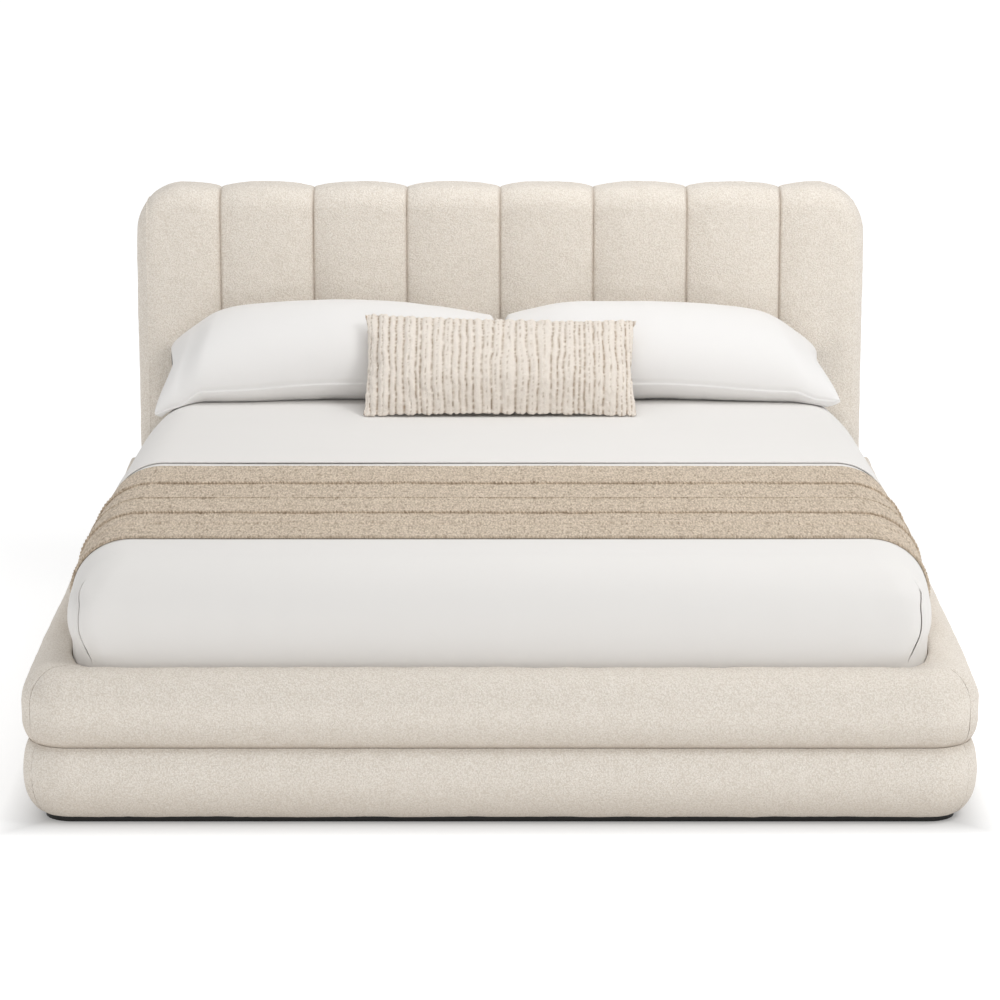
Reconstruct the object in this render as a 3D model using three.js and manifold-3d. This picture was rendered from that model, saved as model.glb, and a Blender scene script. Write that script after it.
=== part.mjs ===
// King-size platform bed: a timber base in two soft rolls, a channelled headboard and its bedding.
// Millimetres, +Z up. X runs across the bed, -Y is the foot end and +Y the headboard end.
// The origin is on the floor under the middle of the bed.
import * as THREE from 'three';
import { mergeVertices } from 'three/addons/utils/BufferGeometryUtils.js';
import Module from 'manifold-3d';

const wasm = await Module();
wasm.setup();

// ---- Driving dimensions ------------------------------------------------------------------

const GAP = 0.3; // clearance between pieces that touch

const mattressSize = { width: 1930, length: 2030, height: 280 }; // king size
const bedLength = 2290;
const baseWidth = 2160;
const headboardSize = { width: 1980, height: 1107, thickness: 140 };

const baseTop = 352; // top of the upper roll
const railCover = 17; // thickness of the upper roll on top of the rails
const seamHeight = 182; // line where the two rolls meet
const plinthHeight = 28;
const plinthRecess = 50; // behind the rolls' outermost face
const plinthThickness = 30;
const cornerRadius = 115; // foot corners of the base, seen from above
const cornerBlockLeg = 20;
const mitreAngle = THREE.MathUtils.degToRad(52); // seam between foot and side rolls, from the foot

const railThickness = 25;
const rollDepth = 70; // outermost face of a roll to the rail behind it
const rollLip = 22; // how far the upper roll folds over the rail's top
const seamNotch = 22; // depth of the groove between the rolls
const upperRoll = { notchHeight: 50, crownRadius: 78, crownHeight: 80, lipCentre: 12, lipHeight: 14 };
const lowerRoll = { widest: 108, curl: 48, hang: 13 };
const lowerSlimming = 0.5; // the lower side rolls lose this share of what the upper ones lose
const rollSlimming = [ // shares of their depth that the upper side rolls lose between two stations
  { from: -850, to: -50, share: 0.16 },
  { from: 250, to: 1000, share: 0.56 },
];

const deckHeight = 283; // top of the slats
const slatCount = 11;
const slat = { width: 90, height: 18, sideGap: 2, footGap: 5 };
const ledger = { width: 40, height: 35, headGap: 40 };
const beam = { width: 45, height: 90 };
const centreLeg = { count: 3, topRadius: 25, footRadius: 22 };
const bracket = { arm: 35, thickness: 4, bottom: 80, top: 180 };

const channelCount = 8;
const outerChannelWidth = 230;
const channelSeam = 26; // depth of the groove between two channels
const channelCrown = 13; // how far each channel's top rises above its seams
const channelFlatness = 2.6; // a higher power gives a flatter middle
const channelTopRadius = 58;
const channelSideRadius = 62; // front edge of the outer channels, seen from above
const channelBackRadius = 18;
const headboardCorner = 130; // radius of the two top corners, seen from the front
const channelBottom = 360;
const padDepth = 73; // front pads, in front of the headboard panel
const wrapThickness = 30; // upholstery over the headboard's top and sides
const panelThickness = 18;
const backCover = { thickness: 3, inset: 2 };
const headboardFloorGap = 60;
const lowerPad = { setback: 40, edgeRadius: 14 }; // the flat pad sits behind the channels' fronts
const stileWidth = 65;
const topRailHeight = 107;

const bedding = { top: 577, halfWidth: 988, edgeWidth: 138, edgeHeight: 125, hem: 300 };
const coverlet = { inset: 4, planRadius: 105 };
const mattressEdge = { width: 115, height: 105, planRadius: 90, lowerBevel: 18 };
const mattressHeadGap = 3;
const beddingFoot = 99; // the dressed mattress starts this far behind the foot face
const coverletHeadEnd = 165; // the coverlet stops this far short of the bed's back
const runner = { fromFoot: 366, width: 721, thickness: 5, hem: 380 };
const cuff = { fromFoot: 1131, toFoot: 2110, thickness: 5, hem: 400 };
const sheetGap = 1.5; // between two layers of bedding

const pillow = {
  inner: 4, // distance from the middle of the bed
  length: 892,
  front: 560,
  frontSeam: 650, // height of the seam along the front
  back: 1002,
  backSeam: 697,
  seamDrop: 15, // how much lower the back seam ends at the outer corner
  crown: 146, // above the seam
  belly: 120, // below the seam
  innerFullness: 0.74,
  innerRise: 0.3, // share of the length over which the inner end fills out
  outerFall: 0.65, // share of the length over which the outer end thins
  tipFullness: 0.08,
  roundness: 0.8, // a lower power gives a boxier section
};
const lumbar = { width: 715, height: 292, front: 46, back: 24, lean: 40, foot: 500, rise: 4 };
const lumbarRoundness = { across: 0.4, along: 0.7, endFullness: 0.12 };
const dent = { slack: 5, from: 10, to: 85 }; // where the pillows give way beside the cushion
const restGap = 1; // between the cushions and the sheet

const bolt = { radius: 4, height: 200, endGap: 8, clearance: 0.4, holeLength: 400 };
const boltHead = { radius: 9, crownRadius: 7.2, height: 6, rim: 3.6 };
const farAway = 2000; // beyond everything, for cutting tools

// ---- Places that follow from them --------------------------------------------------------

const footFace = -bedLength / 2;
const headBack = bedLength / 2;
const headFront = headBack - headboardSize.thickness;
const railFace = baseWidth / 2 - rollDepth;
const railInner = railFace - railThickness;
const footRailFace = footFace + rollDepth;
const footRailInner = footRailFace + railThickness;
const lowerPadFace = headFront + lowerPad.setback;
const baseEnd = lowerPadFace - GAP;
const headRailFront = baseEnd - railThickness;
const cornerCentre = { x: baseWidth / 2 - cornerRadius, y: footFace + cornerRadius };
const railTop = baseTop - railCover;
const plinthProud = rollDepth - plinthRecess; // outside the rails' faces
const panelFront = headFront + padDepth;
const panelBack = panelFront + panelThickness;
const coverFront = headBack - backCover.inset - backCover.thickness;
const wrapInner = { x: headboardSize.width / 2 - wrapThickness, z: headboardSize.height - wrapThickness };
const mattressFoot = headFront - mattressHeadGap - mattressSize.length;

// ---- Materials ---------------------------------------------------------------------------

function finish(color, roughness, metalness = 0) {
  return () => new THREE.MeshStandardMaterial({ color, roughness, metalness });
}

const boucle = finish(0xdbd2c6, 0.95);
const timber = finish(0xc9a77c, 0.7);
const plywood = finish(0xd2b48a, 0.75);
const blackPaint = finish(0x141410, 0.6);
const dustCover = finish(0xcfc6b8, 0.9);
const steel = finish(0x8d9094, 0.4, 0.9);
const ticking = finish(0xf0eeea, 0.85);
const percale = finish(0xebe8e4, 0.8);
const tanKnit = finish(0xc0af9a, 0.95);
const creamKnit = finish(0xded5ca, 0.95);

// ---- Helpers -----------------------------------------------------------------------------

const bed = new THREE.Group();

function addMesh(name, geometry, material) {
  const mesh = new THREE.Mesh(geometry, material());
  mesh.name = name;
  bed.add(mesh);
  return mesh;
}

function boxGeometry([x0, x1], [y0, y1], [z0, z1]) {
  const geometry = new THREE.BoxGeometry(x1 - x0, y1 - y0, z1 - z0);
  return geometry.translate((x0 + x1) / 2, (y0 + y1) / 2, (z0 + z1) / 2);
}

function addBox(name, material, xRange, yRange, zRange) {
  return addMesh(name, boxGeometry(xRange, yRange, zRange), material);
}

function mirrored(range) {
  return [-range[1], -range[0]];
}

function signedVolume(points, faces) {
  const cross = new THREE.Vector3();
  let sum = 0;
  for (const [a, b, c] of faces) {
    sum += points[a].dot(cross.crossVectors(points[b], points[c]));
  }
  return sum / 6;
}

function geometryFrom(points, faces) {
  const outward = signedVolume(points, faces) > 0;
  const geometry = new THREE.BufferGeometry();
  geometry.setAttribute('position', new THREE.Float32BufferAttribute(points.flatMap((p) => p.toArray()), 3));
  geometry.setIndex(faces.flatMap(([a, b, c]) => (outward ? [a, b, c] : [a, c, b])));
  geometry.computeVertexNormals();
  return geometry;
}

// A closed skin over rings of equal length. capOutline gives one ring as flat points for its caps.
function loft(rings, capOutline) {
  const count = rings[0].length;
  const points = rings.flat();
  const faces = [];
  for (let r = 0; r + 1 < rings.length; r++) {
    for (let i = 0; i < count; i++) {
      const a = r * count + i;
      const b = r * count + ((i + 1) % count);
      faces.push([a, b, b + count], [a, b + count, a + count]);
    }
  }
  const last = (rings.length - 1) * count;
  for (const [first, reverse] of [[0, true], [last, false]]) {
    const flat = points.slice(first, first + count).map(capOutline);
    const clockwise = THREE.ShapeUtils.isClockWise(flat);
    for (const [a, b, c] of THREE.ShapeUtils.triangulateShape(flat, [])) {
      const face = [first + a, first + b, first + c];
      faces.push(reverse === clockwise ? face : face.reverse());
    }
  }
  return geometryFrom(points, faces);
}

// A polygon of [x, y] points, pulled up from z0 to z1.
function prism(outline, z0, z1) {
  const shape = new THREE.Shape(outline.map(([x, y]) => new THREE.Vector2(x, y)));
  const geometry = new THREE.ExtrudeGeometry(shape, { depth: z1 - z0, bevelEnabled: false });
  return geometry.translate(0, 0, z0);
}

function arc(cx, cy, rx, ry, from, to, steps) {
  return Array.from({ length: steps + 1 }, (_, i) => {
    const angle = THREE.MathUtils.degToRad(from + ((to - from) * i) / steps);
    return [cx + rx * Math.cos(angle), cy + ry * Math.sin(angle)];
  });
}

function toSolid(geometry) {
  const plain = geometry.clone();
  for (const name of Object.keys(plain.attributes)) {
    if (name !== 'position') {
      plain.deleteAttribute(name);
    }
  }
  const merged = mergeVertices(plain, 1e-3);
  const vertProperties = new Float32Array(merged.attributes.position.array);
  const triVerts = new Uint32Array(merged.index.array);
  return new wasm.Manifold(new wasm.Mesh({ numProp: 3, vertProperties, triVerts }));
}

function fromSolid(solid) {
  const mesh = solid.getMesh();
  const geometry = new THREE.BufferGeometry();
  geometry.setAttribute('position', new THREE.BufferAttribute(mesh.vertProperties, 3));
  geometry.setIndex(new THREE.BufferAttribute(mesh.triVerts, 1));
  geometry.computeVertexNormals();
  return geometry;
}

function cut(geometry, ...tools) {
  return fromSolid(tools.reduce((solid, tool) => solid.subtract(toSolid(tool)), toSolid(geometry)));
}

// ---- Base: rails, corner blocks and plinth -----------------------------------------------

const boltPlaces = [-1, 1].map((side) => ({ x: side * (wrapInner.x - stileWidth / 2), z: bolt.height }));

function boltHole({ x, z }) {
  const radius = bolt.radius + bolt.clearance;
  return new THREE.CylinderGeometry(radius, radius, bolt.holeLength, 12).translate(x, headFront, z);
}

const boltHoles = boltPlaces.map(boltHole);

function buildRails() {
  const z = [plinthHeight + GAP, railTop];
  const sideX = [railInner, railFace];
  const sideY = [cornerCentre.y + GAP, baseEnd];
  addBox('side_rail_right', timber, sideX, sideY, z);
  addBox('side_rail_left', timber, mirrored(sideX), sideY, z);
  const footX = cornerCentre.x - GAP;
  addBox('foot_rail', timber, [-footX, footX], [footRailFace, footRailInner], z);
  const headX = railInner - GAP;
  const headRail = boxGeometry([-headX, headX], [headRailFront, baseEnd], z);
  addMesh('head_rail', cut(headRail, ...boltHoles), timber);
}

// A corner post with a round nose, which the foot rail and a side rail both butt against.
function buildCornerBlock(name, side) {
  const nose = railFace - cornerCentre.x;
  const inner = { x: railInner - GAP, y: footRailInner + GAP };
  const leg = cornerBlockLeg;
  const outline = [
    ...arc(cornerCentre.x, cornerCentre.y, nose, nose, 0, -90, 6),
    [cornerCentre.x, inner.y],
    [inner.x - leg, inner.y],
    [inner.x - leg, inner.y + leg],
    [inner.x, inner.y + leg],
    [inner.x, cornerCentre.y],
  ];
  const sided = outline.map(([x, y]) => [side * x, y]);
  addMesh(name, prism(sided, plinthHeight + GAP, railTop), timber);
}

function buildPlinth() {
  const outer = cornerRadius - plinthRecess;
  const inner = outer - plinthThickness;
  const right = cornerCentre.x;
  const outline = [
    ...arc(right, cornerCentre.y, outer, outer, 0, -90, 8),
    ...arc(-right, cornerCentre.y, outer, outer, -90, -180, 8),
    ...arc(-right, cornerCentre.y, inner, inner, -180, -90, 4),
    ...arc(right, cornerCentre.y, inner, inner, -90, 0, 4),
  ];
  addMesh('plinth_front', prism(outline, 0, plinthHeight), blackPaint);
  const outside = baseWidth / 2 - plinthRecess;
  const sideX = [outside - plinthThickness, outside];
  const sideY = [cornerCentre.y + GAP, headRailFront];
  addBox('plinth_right', blackPaint, sideX, sideY, [0, plinthHeight]);
  addBox('plinth_left', blackPaint, mirrored(sideX), sideY, [0, plinthHeight]);
  const backX = sideX[0] - GAP;
  const backY = [headRailFront - plinthThickness, headRailFront];
  addBox('plinth_back', blackPaint, [-backX, backX], backY, [0, plinthHeight]);
}

// ---- Base: upholstered rolls -------------------------------------------------------------

// Roll sections as [distance out from the rail's face, height].
function upperRollSection() {
  const { notchHeight, crownRadius, crownHeight, lipCentre, lipHeight } = upperRoll;
  const low = seamHeight + GAP;
  const notch = rollDepth - seamNotch;
  return [
    [0, low],
    [notch, low],
    ...arc(notch, low + notchHeight, seamNotch, notchHeight, -60, 0, 3),
    ...arc(rollDepth - crownRadius, baseTop - crownHeight, crownRadius, crownHeight, 0, 90, 7),
    ...arc(-lipCentre, baseTop - lipHeight, rollLip - lipCentre, lipHeight, 90, 180, 3),
    [-rollLip, railTop + GAP],
    [0, railTop + GAP],
  ];
}

// The lower roll hangs down a little in front of the plinth.
function lowerRollSection() {
  const { widest, curl, hang } = lowerRoll;
  const low = plinthHeight + GAP;
  const notch = rollDepth - seamNotch;
  const behind = plinthProud + 3 * GAP; // also clears the plinth where the roll begins to slim
  return [
    [0, low],
    [behind, low],
    [behind, hang + GAP],
    ...arc(rollDepth - curl, widest, curl, widest - hang, -88, 0, 6),
    ...arc(notch, widest, seamNotch, seamHeight - widest, 18, 90, 4),
    [0, seamHeight],
  ];
}

// Stations along the rail's outer face: a point, the outward normal and how much of the bulge is left.
function cornerStations(fromAngle, toAngle, steps) {
  const radius = railFace - cornerCentre.x;
  return Array.from({ length: steps + 1 }, (_, i) => {
    const angle = fromAngle + ((toAngle - fromAngle) * i) / steps;
    const normal = [Math.sin(angle), -Math.cos(angle)];
    const at = [cornerCentre.x + radius * normal[0], cornerCentre.y + radius * normal[1]];
    return { at, normal, bulge: 1 };
  });
}

function footStations() {
  const end = mitreAngle - GAP / 2 / cornerRadius;
  const right = cornerStations(0, end, 5);
  const left = right.map(({ at, normal }) => ({
    at: [-at[0], at[1]],
    normal: [-normal[0], normal[1]],
    bulge: 1,
  }));
  return [...left.reverse(), ...right];
}

function sideStations(side, slimming) {
  const start = mitreAngle + GAP / 2 / cornerRadius;
  const stations = cornerStations(start, Math.PI / 2, 4);
  const steps = 12;
  for (let i = 1; i <= steps; i++) {
    const y = THREE.MathUtils.lerp(cornerCentre.y, baseEnd, i / steps);
    const lost = rollSlimming.map(({ from, to, share }) => share * THREE.MathUtils.smoothstep(y, from, to));
    const bulge = 1 - slimming * (lost[0] + lost[1]);
    stations.push({ at: [railFace, y], normal: [1, 0], bulge });
  }
  return stations.map(({ at, normal, bulge }) => ({
    at: [side * at[0], at[1]],
    normal: [side * normal[0], normal[1]],
    bulge,
  }));
}

// The lower roll hangs in front of the plinth only where it has its full depth. Elsewhere it ends just
// above the plinth's top, with only a trace of that shape.
function rollGeometry(section, stations) {
  const low = plinthHeight + GAP;
  const trace = 0.02;
  const rings = stations.map(({ at, normal, bulge }) => section.map(([out, height]) => {
    const distance = out < 0 ? out : GAP + Math.max(out - GAP, 0) * bulge;
    const z = bulge === 1 || height >= low ? height : low + trace * (low - height);
    return new THREE.Vector3(at[0] + normal[0] * distance, at[1] + normal[1] * distance, z);
  }));
  return loft(rings, (p, i) => new THREE.Vector2(...section[i]));
}

function buildRolls() {
  for (const [level, section, slimming] of [
    ['upper', upperRollSection(), 1],
    ['lower', lowerRollSection(), lowerSlimming],
  ]) {
    addMesh(`${level}_roll_foot`, rollGeometry(section, footStations()), boucle);
    addMesh(`${level}_roll_left`, rollGeometry(section, sideStations(-1, slimming)), boucle);
    addMesh(`${level}_roll_right`, rollGeometry(section, sideStations(1, slimming)), boucle);
  }
}

// ---- Base: slat deck ---------------------------------------------------------------------

function buildDeck() {
  const slatBottom = deckHeight - slat.height;
  const ledgerTop = slatBottom - GAP;
  const cornerLeg = footRailInner + cornerBlockLeg + 2 * GAP;
  const ledgerX = [railInner - GAP - ledger.width, railInner - GAP];
  const ledgerY = [cornerLeg, headRailFront - ledger.headGap];
  const ledgerZ = [ledgerTop - ledger.height, ledgerTop];
  addBox('slat_ledger_right', timber, ledgerX, ledgerY, ledgerZ);
  addBox('slat_ledger_left', timber, mirrored(ledgerX), ledgerY, ledgerZ);

  const beamX = [-beam.width / 2, beam.width / 2];
  const beamY = [footRailInner + GAP, headRailFront - GAP];
  const beamZ = [ledgerTop - beam.height, ledgerTop];
  addBox('center_beam', timber, beamX, beamY, beamZ);

  const legSpan = beamY[1] - beamY[0];
  const legHeight = beamZ[0] - GAP;
  for (let i = 1; i <= centreLeg.count; i++) {
    const y = beamY[0] + (legSpan * i) / (centreLeg.count + 1);
    const leg = new THREE.CylinderGeometry(centreLeg.topRadius, centreLeg.footRadius, legHeight, 16);
    leg.rotateX(Math.PI / 2).translate(0, y, legHeight / 2);
    addMesh(`center_leg_${i}`, leg, blackPaint);
  }

  const slatX = railInner - slat.sideGap;
  const firstSlat = cornerLeg + slat.footGap + slat.width / 2;
  const lastSlat = ledgerY[1] - slat.width / 2;
  for (let i = 0; i < slatCount; i++) {
    const y = firstSlat + ((lastSlat - firstSlat) * i) / (slatCount - 1);
    const number = String(i + 1).padStart(2, '0');
    const yRange = [y - slat.width / 2, y + slat.width / 2];
    addBox(`slat_${number}`, timber, [-slatX, slatX], yRange, [slatBottom, deckHeight]);
  }
}

// Steel angles inside the corners between the head rail and the side rails.
function buildBrackets() {
  const { arm, thickness } = bracket;
  const corner = { x: railInner - GAP, y: headRailFront - GAP };
  const outline = [
    [corner.x, corner.y],
    [corner.x, corner.y - arm],
    [corner.x - thickness, corner.y - arm],
    [corner.x - thickness, corner.y - thickness],
    [corner.x - arm, corner.y - thickness],
    [corner.x - arm, corner.y],
  ];
  for (const [name, side] of [['corner_bracket_right', 1], ['corner_bracket_left', -1]]) {
    const sided = outline.map(([x, y]) => [side * x, y]);
    addMesh(name, prism(sided, bracket.bottom, bracket.top), steel);
  }
}

// ---- Headboard ---------------------------------------------------------------------------

function channelSeams() {
  const half = headboardSize.width / 2;
  const inner = (headboardSize.width - 2 * outerChannelWidth) / (channelCount - 2);
  const seams = [-half, -half + outerChannelWidth];
  for (let i = 1; i <= channelCount - 2; i++) {
    seams.push(-half + outerChannelWidth + inner * i);
  }
  return [...seams, half];
}

// One slice of a channel, seen from the side, as [y, z] points from the bottom front over the top.
function channelSlice(front, top, back, topRadius) {
  const backRadius = channelBackRadius;
  return [
    [front, channelBottom],
    [front, (channelBottom + top) / 2],
    ...arc(front + topRadius, top - topRadius, topRadius, topRadius, 180, 90, 6),
    ...arc(back - backRadius, top - backRadius, backRadius, backRadius, 90, 0, 3),
    [back, channelBottom],
  ];
}

const largestTopShare = 0.45; // of a slice's depth, for the radius on its top

// Each channel swells between its seams, and the outer two also round over the headboard's side.
function channelGeometry(left, right) {
  const half = headboardSize.width / 2;
  const middle = (left + right) / 2;
  const reach = (right - left) / 2 - GAP / 2;
  const atEdge = Math.abs(middle) + reach + GAP > half;
  const outward = Math.sign(middle);
  const steps = 12;
  const rings = [];
  for (let i = 0; i <= steps; i++) {
    const u = -Math.cos((i / steps) * Math.PI);
    const onOuterSide = atEdge && u * outward > 0;
    const swell = 1 - Math.abs(u) ** channelFlatness;
    const x = middle + reach * u;
    let front = headFront + channelSeam * (1 - swell);
    let back = headBack;
    let top = headboardSize.height - channelCrown * (1 - swell);
    let topRadius = channelTopRadius;
    if (onOuterSide) {
      const rounded = (radius) => {
        const past = Math.max(0, radius - (half - Math.abs(x)));
        return radius - Math.sqrt(radius ** 2 - past ** 2);
      };
      front = headFront + rounded(channelSideRadius);
      back = headBack - rounded(channelBackRadius);
      top = headboardSize.height - rounded(headboardCorner);
      topRadius = Math.min(channelTopRadius, (back - front) * largestTopShare);
    }
    rings.push(channelSlice(front, top, back, topRadius).map(([y, z]) => new THREE.Vector3(x, y, z)));
  }
  return loft(rings, (p) => new THREE.Vector2(p.y, p.z));
}

// A board standing across the bed, with the headboard's rounded top corners.
function uprightBoard([y0, y1], [z0, z1], halfWidth) {
  const radius = headboardCorner - (headboardSize.width / 2 - halfWidth);
  const outline = [
    [-halfWidth, z0],
    [halfWidth, z0],
    ...arc(halfWidth - radius, z1 - radius, radius, radius, 0, 90, 8),
    ...arc(-halfWidth + radius, z1 - radius, radius, radius, 90, 180, 8),
  ];
  return prism(outline, 0, y1 - y0).rotateX(Math.PI / 2).translate(0, y1, 0);
}

const frameSpace = uprightBoard([panelFront, farAway], [0, wrapInner.z], wrapInner.x);

function buildChannels() {
  const seams = channelSeams();
  for (let i = 0; i < channelCount; i++) {
    const pad = cut(channelGeometry(seams[i], seams[i + 1]), frameSpace);
    addMesh(`headboard_channel_${i + 1}`, pad, boucle);
  }
  const half = headboardSize.width / 2;
  const edge = lowerPad.edgeRadius;
  const outline = [
    ...arc(half - edge, lowerPadFace + edge, edge, edge, -90, 0, 3),
    ...arc(half - edge, headBack - edge, edge, edge, 0, 90, 3),
    ...arc(-half + edge, headBack - edge, edge, edge, 90, 180, 3),
    ...arc(-half + edge, lowerPadFace + edge, edge, edge, 180, 270, 3),
  ];
  const pad = prism(outline, headboardFloorGap, channelBottom - GAP);
  addMesh('headboard_lower_pad', cut(pad, frameSpace, ...boltHoles), boucle);
}

function buildHeadboardFrame() {
  const side = wrapInner.x - GAP;
  const top = wrapInner.z - GAP;
  const panelY = [panelFront + GAP, panelBack];
  const frameY = [panelBack + GAP, coverFront - GAP];
  const panel = uprightBoard(panelY, [headboardFloorGap, top], side);
  addMesh('headboard_panel', cut(panel, ...boltHoles), plywood);

  const railBottom = top - topRailHeight;
  const stileX = [side - stileWidth, side];
  const stileZ = [0, railBottom - GAP];
  const stile = boxGeometry(stileX, frameY, stileZ);
  addMesh('headboard_stile_right', cut(stile, ...boltHoles), timber);
  const otherStile = boxGeometry(mirrored(stileX), frameY, stileZ);
  addMesh('headboard_stile_left', cut(otherStile, ...boltHoles), timber);
  addMesh('headboard_top_rail', uprightBoard(frameY, [railBottom, top], side), timber);
  const between = stileX[0] - GAP;
  const lowRailTop = headboardFloorGap + stileWidth;
  addBox('headboard_bottom_rail', timber, [-between, between], frameY, [headboardFloorGap, lowRailTop]);
  const middleZ = [lowRailTop + GAP, railBottom - GAP];
  addBox('headboard_center_stile', timber, [-stileWidth / 2, stileWidth / 2], frameY, middleZ);
  const coverY = [coverFront, coverFront + backCover.thickness];
  addMesh('headboard_back_cover', uprightBoard(coverY, [headboardFloorGap, top], side), dustCover);
}

// Bolts from the head rail through the pad and panel into the stiles.
function buildBolts() {
  const length = coverFront - bolt.endGap - headRailFront;
  const profile = [
    [0, -boltHead.height],
    [boltHead.crownRadius, -boltHead.height],
    [boltHead.radius, -boltHead.rim],
    [boltHead.radius, -GAP],
    [bolt.radius, -GAP],
    [bolt.radius, length],
    [0, length],
  ].map(([x, y]) => new THREE.Vector2(x, y));
  for (const { x, z } of boltPlaces) {
    const turned = new THREE.LatheGeometry(profile, 12).translate(x, headRailFront, z);
    addMesh(x > 0 ? 'headboard_bolt_right' : 'headboard_bolt_left', turned, steel);
  }
}

// ---- Mattress and bedding ----------------------------------------------------------------

const smallestPlanRadius = 8;

// A block with a rounded plan and soft top edges. under bevels its lower edge.
function softBlock({ halfWidth, foot, head, bottom, top, edgeWidth, edgeHeight, planRadius, under = 0 }) {
  const level = (inset, z) => {
    const radius = Math.max(planRadius - inset, smallestPlanRadius);
    const x = halfWidth - inset - radius;
    const y0 = foot + inset + radius;
    const y1 = head - inset - radius;
    return [
      ...arc(x, y0, radius, radius, -90, 0, 5),
      ...arc(x, y1, radius, radius, 0, 90, 5),
      ...arc(-x, y1, radius, radius, 90, 180, 5),
      ...arc(-x, y0, radius, radius, 180, 270, 5),
    ].map(([px, py]) => new THREE.Vector3(px, py, z));
  };
  const rings = [];
  if (under) {
    rings.push(level(under, bottom));
  }
  rings.push(level(0, bottom + under));
  for (const [out, z] of arc(0, top - edgeHeight, edgeWidth, edgeHeight, 0, 90, 7)) {
    rings.push(level(edgeWidth - out, z));
  }
  return loft(rings, (p) => new THREE.Vector2(p.x, p.y));
}

const mattressShape = {
  halfWidth: mattressSize.width / 2,
  foot: mattressFoot,
  head: mattressFoot + mattressSize.length,
  bottom: deckHeight + GAP,
  top: deckHeight + GAP + mattressSize.height,
  edgeWidth: mattressEdge.width,
  edgeHeight: mattressEdge.height,
  planRadius: mattressEdge.planRadius,
};

function buildMattress() {
  addMesh('mattress', softBlock({ ...mattressShape, under: mattressEdge.lowerBevel }), ticking);
}

function buildCoverlet() {
  const past = farAway; // both blocks run past the head end, where the coverlet is open
  const clear = 1; // between mattress and coverlet
  const outer = softBlock({
    halfWidth: bedding.halfWidth - coverlet.inset,
    foot: footFace + beddingFoot,
    head: past,
    bottom: bedding.hem,
    top: bedding.top,
    edgeWidth: bedding.edgeWidth,
    edgeHeight: bedding.edgeHeight,
    planRadius: coverlet.planRadius,
  });
  const inner = softBlock({
    ...mattressShape,
    halfWidth: mattressShape.halfWidth + clear,
    foot: mattressShape.foot - clear,
    head: past,
    bottom: 0,
    top: mattressShape.top + clear,
  });
  const headEnd = headBack - coverletHeadEnd;
  const beyond = boxGeometry([-farAway, farAway], [headEnd, 2 * farAway], [0, farAway]);
  addMesh('coverlet', cut(outer, inner, beyond), percale);
}

// A sheet laid over the bedding from y0 to y1, hanging down both sides to its hem.
function buildLaidSheet(name, material, y0, y1, thickness, hem) {
  const side = (offset) => {
    const edge = arc(
      bedding.halfWidth - bedding.edgeWidth,
      bedding.top - bedding.edgeHeight,
      bedding.edgeWidth + offset,
      bedding.edgeHeight + offset,
      0,
      90,
      8,
    );
    const right = [[bedding.halfWidth + offset, hem], ...edge];
    return [...right, ...right.map(([x, z]) => [-x, z]).reverse()];
  };
  const outline = [...side(sheetGap + thickness), ...side(sheetGap).reverse()];
  const sheet = prism(outline, 0, y1 - y0);
  sheet.rotateX(Math.PI / 2).translate(0, y1, 0);
  addMesh(name, sheet, material);
}

// ---- Pillows and cushion -----------------------------------------------------------------

const lumbarLean = THREE.MathUtils.degToRad(lumbar.lean);
const restingHeight = bedding.top + sheetGap + cuff.thickness + restGap;

// Height of the sheet that the pillows lie on, which falls away towards the side of the bed.
function sheetHeight(x) {
  const past = Math.min(1, Math.max(0, x - bedding.halfWidth + bedding.edgeWidth) / bedding.edgeWidth);
  return restingHeight - bedding.edgeHeight * (1 - Math.sqrt(1 - past ** 2));
}

// The pillows give way behind the cushion, so that their fronts follow its sloping back.
function dentedFront(x, y, z) {
  const behind = lumbar.foot + (z - restingHeight) * Math.tan(lumbarLean) + lumbar.back / Math.cos(lumbarLean);
  const end = lumbar.width / 2;
  const share = 1 - THREE.MathUtils.smoothstep(x, end + dent.from, end + dent.to);
  return Math.max(y, y + (behind + dent.slack - y) * share);
}

function pillowGeometry(side) {
  const stations = 12;
  const around = 10;
  const rings = [];
  for (let i = 0; i <= stations; i++) {
    const s = (1 - Math.cos((i / stations) * Math.PI)) / 2;
    const x = pillow.inner + pillow.length * s;
    const risen = Math.sin(Math.min(1, s / pillow.innerRise) * (Math.PI / 2));
    const towardsInner = THREE.MathUtils.lerp(pillow.innerFullness, 1, risen);
    const fallen = Math.max(0, 1 - (1 - s) / pillow.outerFall);
    const towardsOuter = (1 - fallen ** 2.2) ** 0.8;
    const fullness = Math.max(pillow.tipFullness, Math.min(towardsInner, towardsOuter));
    const droop = THREE.MathUtils.smoothstep(s, 0.75, 1);
    const frontZ = THREE.MathUtils.lerp(pillow.frontSeam, sheetHeight(x), droop);
    const backZ = pillow.backSeam - pillow.seamDrop * droop;
    const middle = (pillow.front + pillow.back) / 2;
    const reach = (pillow.back - pillow.front) / 2;
    const ring = [];
    for (let j = 0; j < 2 * around; j++) {
      const a = (j / around) * Math.PI;
      const y = middle - reach * Math.cos(a);
      const chord = THREE.MathUtils.lerp(frontZ, backZ, (y - pillow.front) / (2 * reach));
      const swell = Math.abs(Math.sin(a)) ** pillow.roundness;
      const height = j <= around ? pillow.crown * swell : -pillow.belly * swell;
      const z = Math.max(sheetHeight(x), chord + height * fullness);
      ring.push(new THREE.Vector3(side * x, dentedFront(x, y, z), z));
    }
    rings.push(ring);
  }
  return loft(rings, (p) => new THREE.Vector2(p.y, p.z));
}

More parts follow.
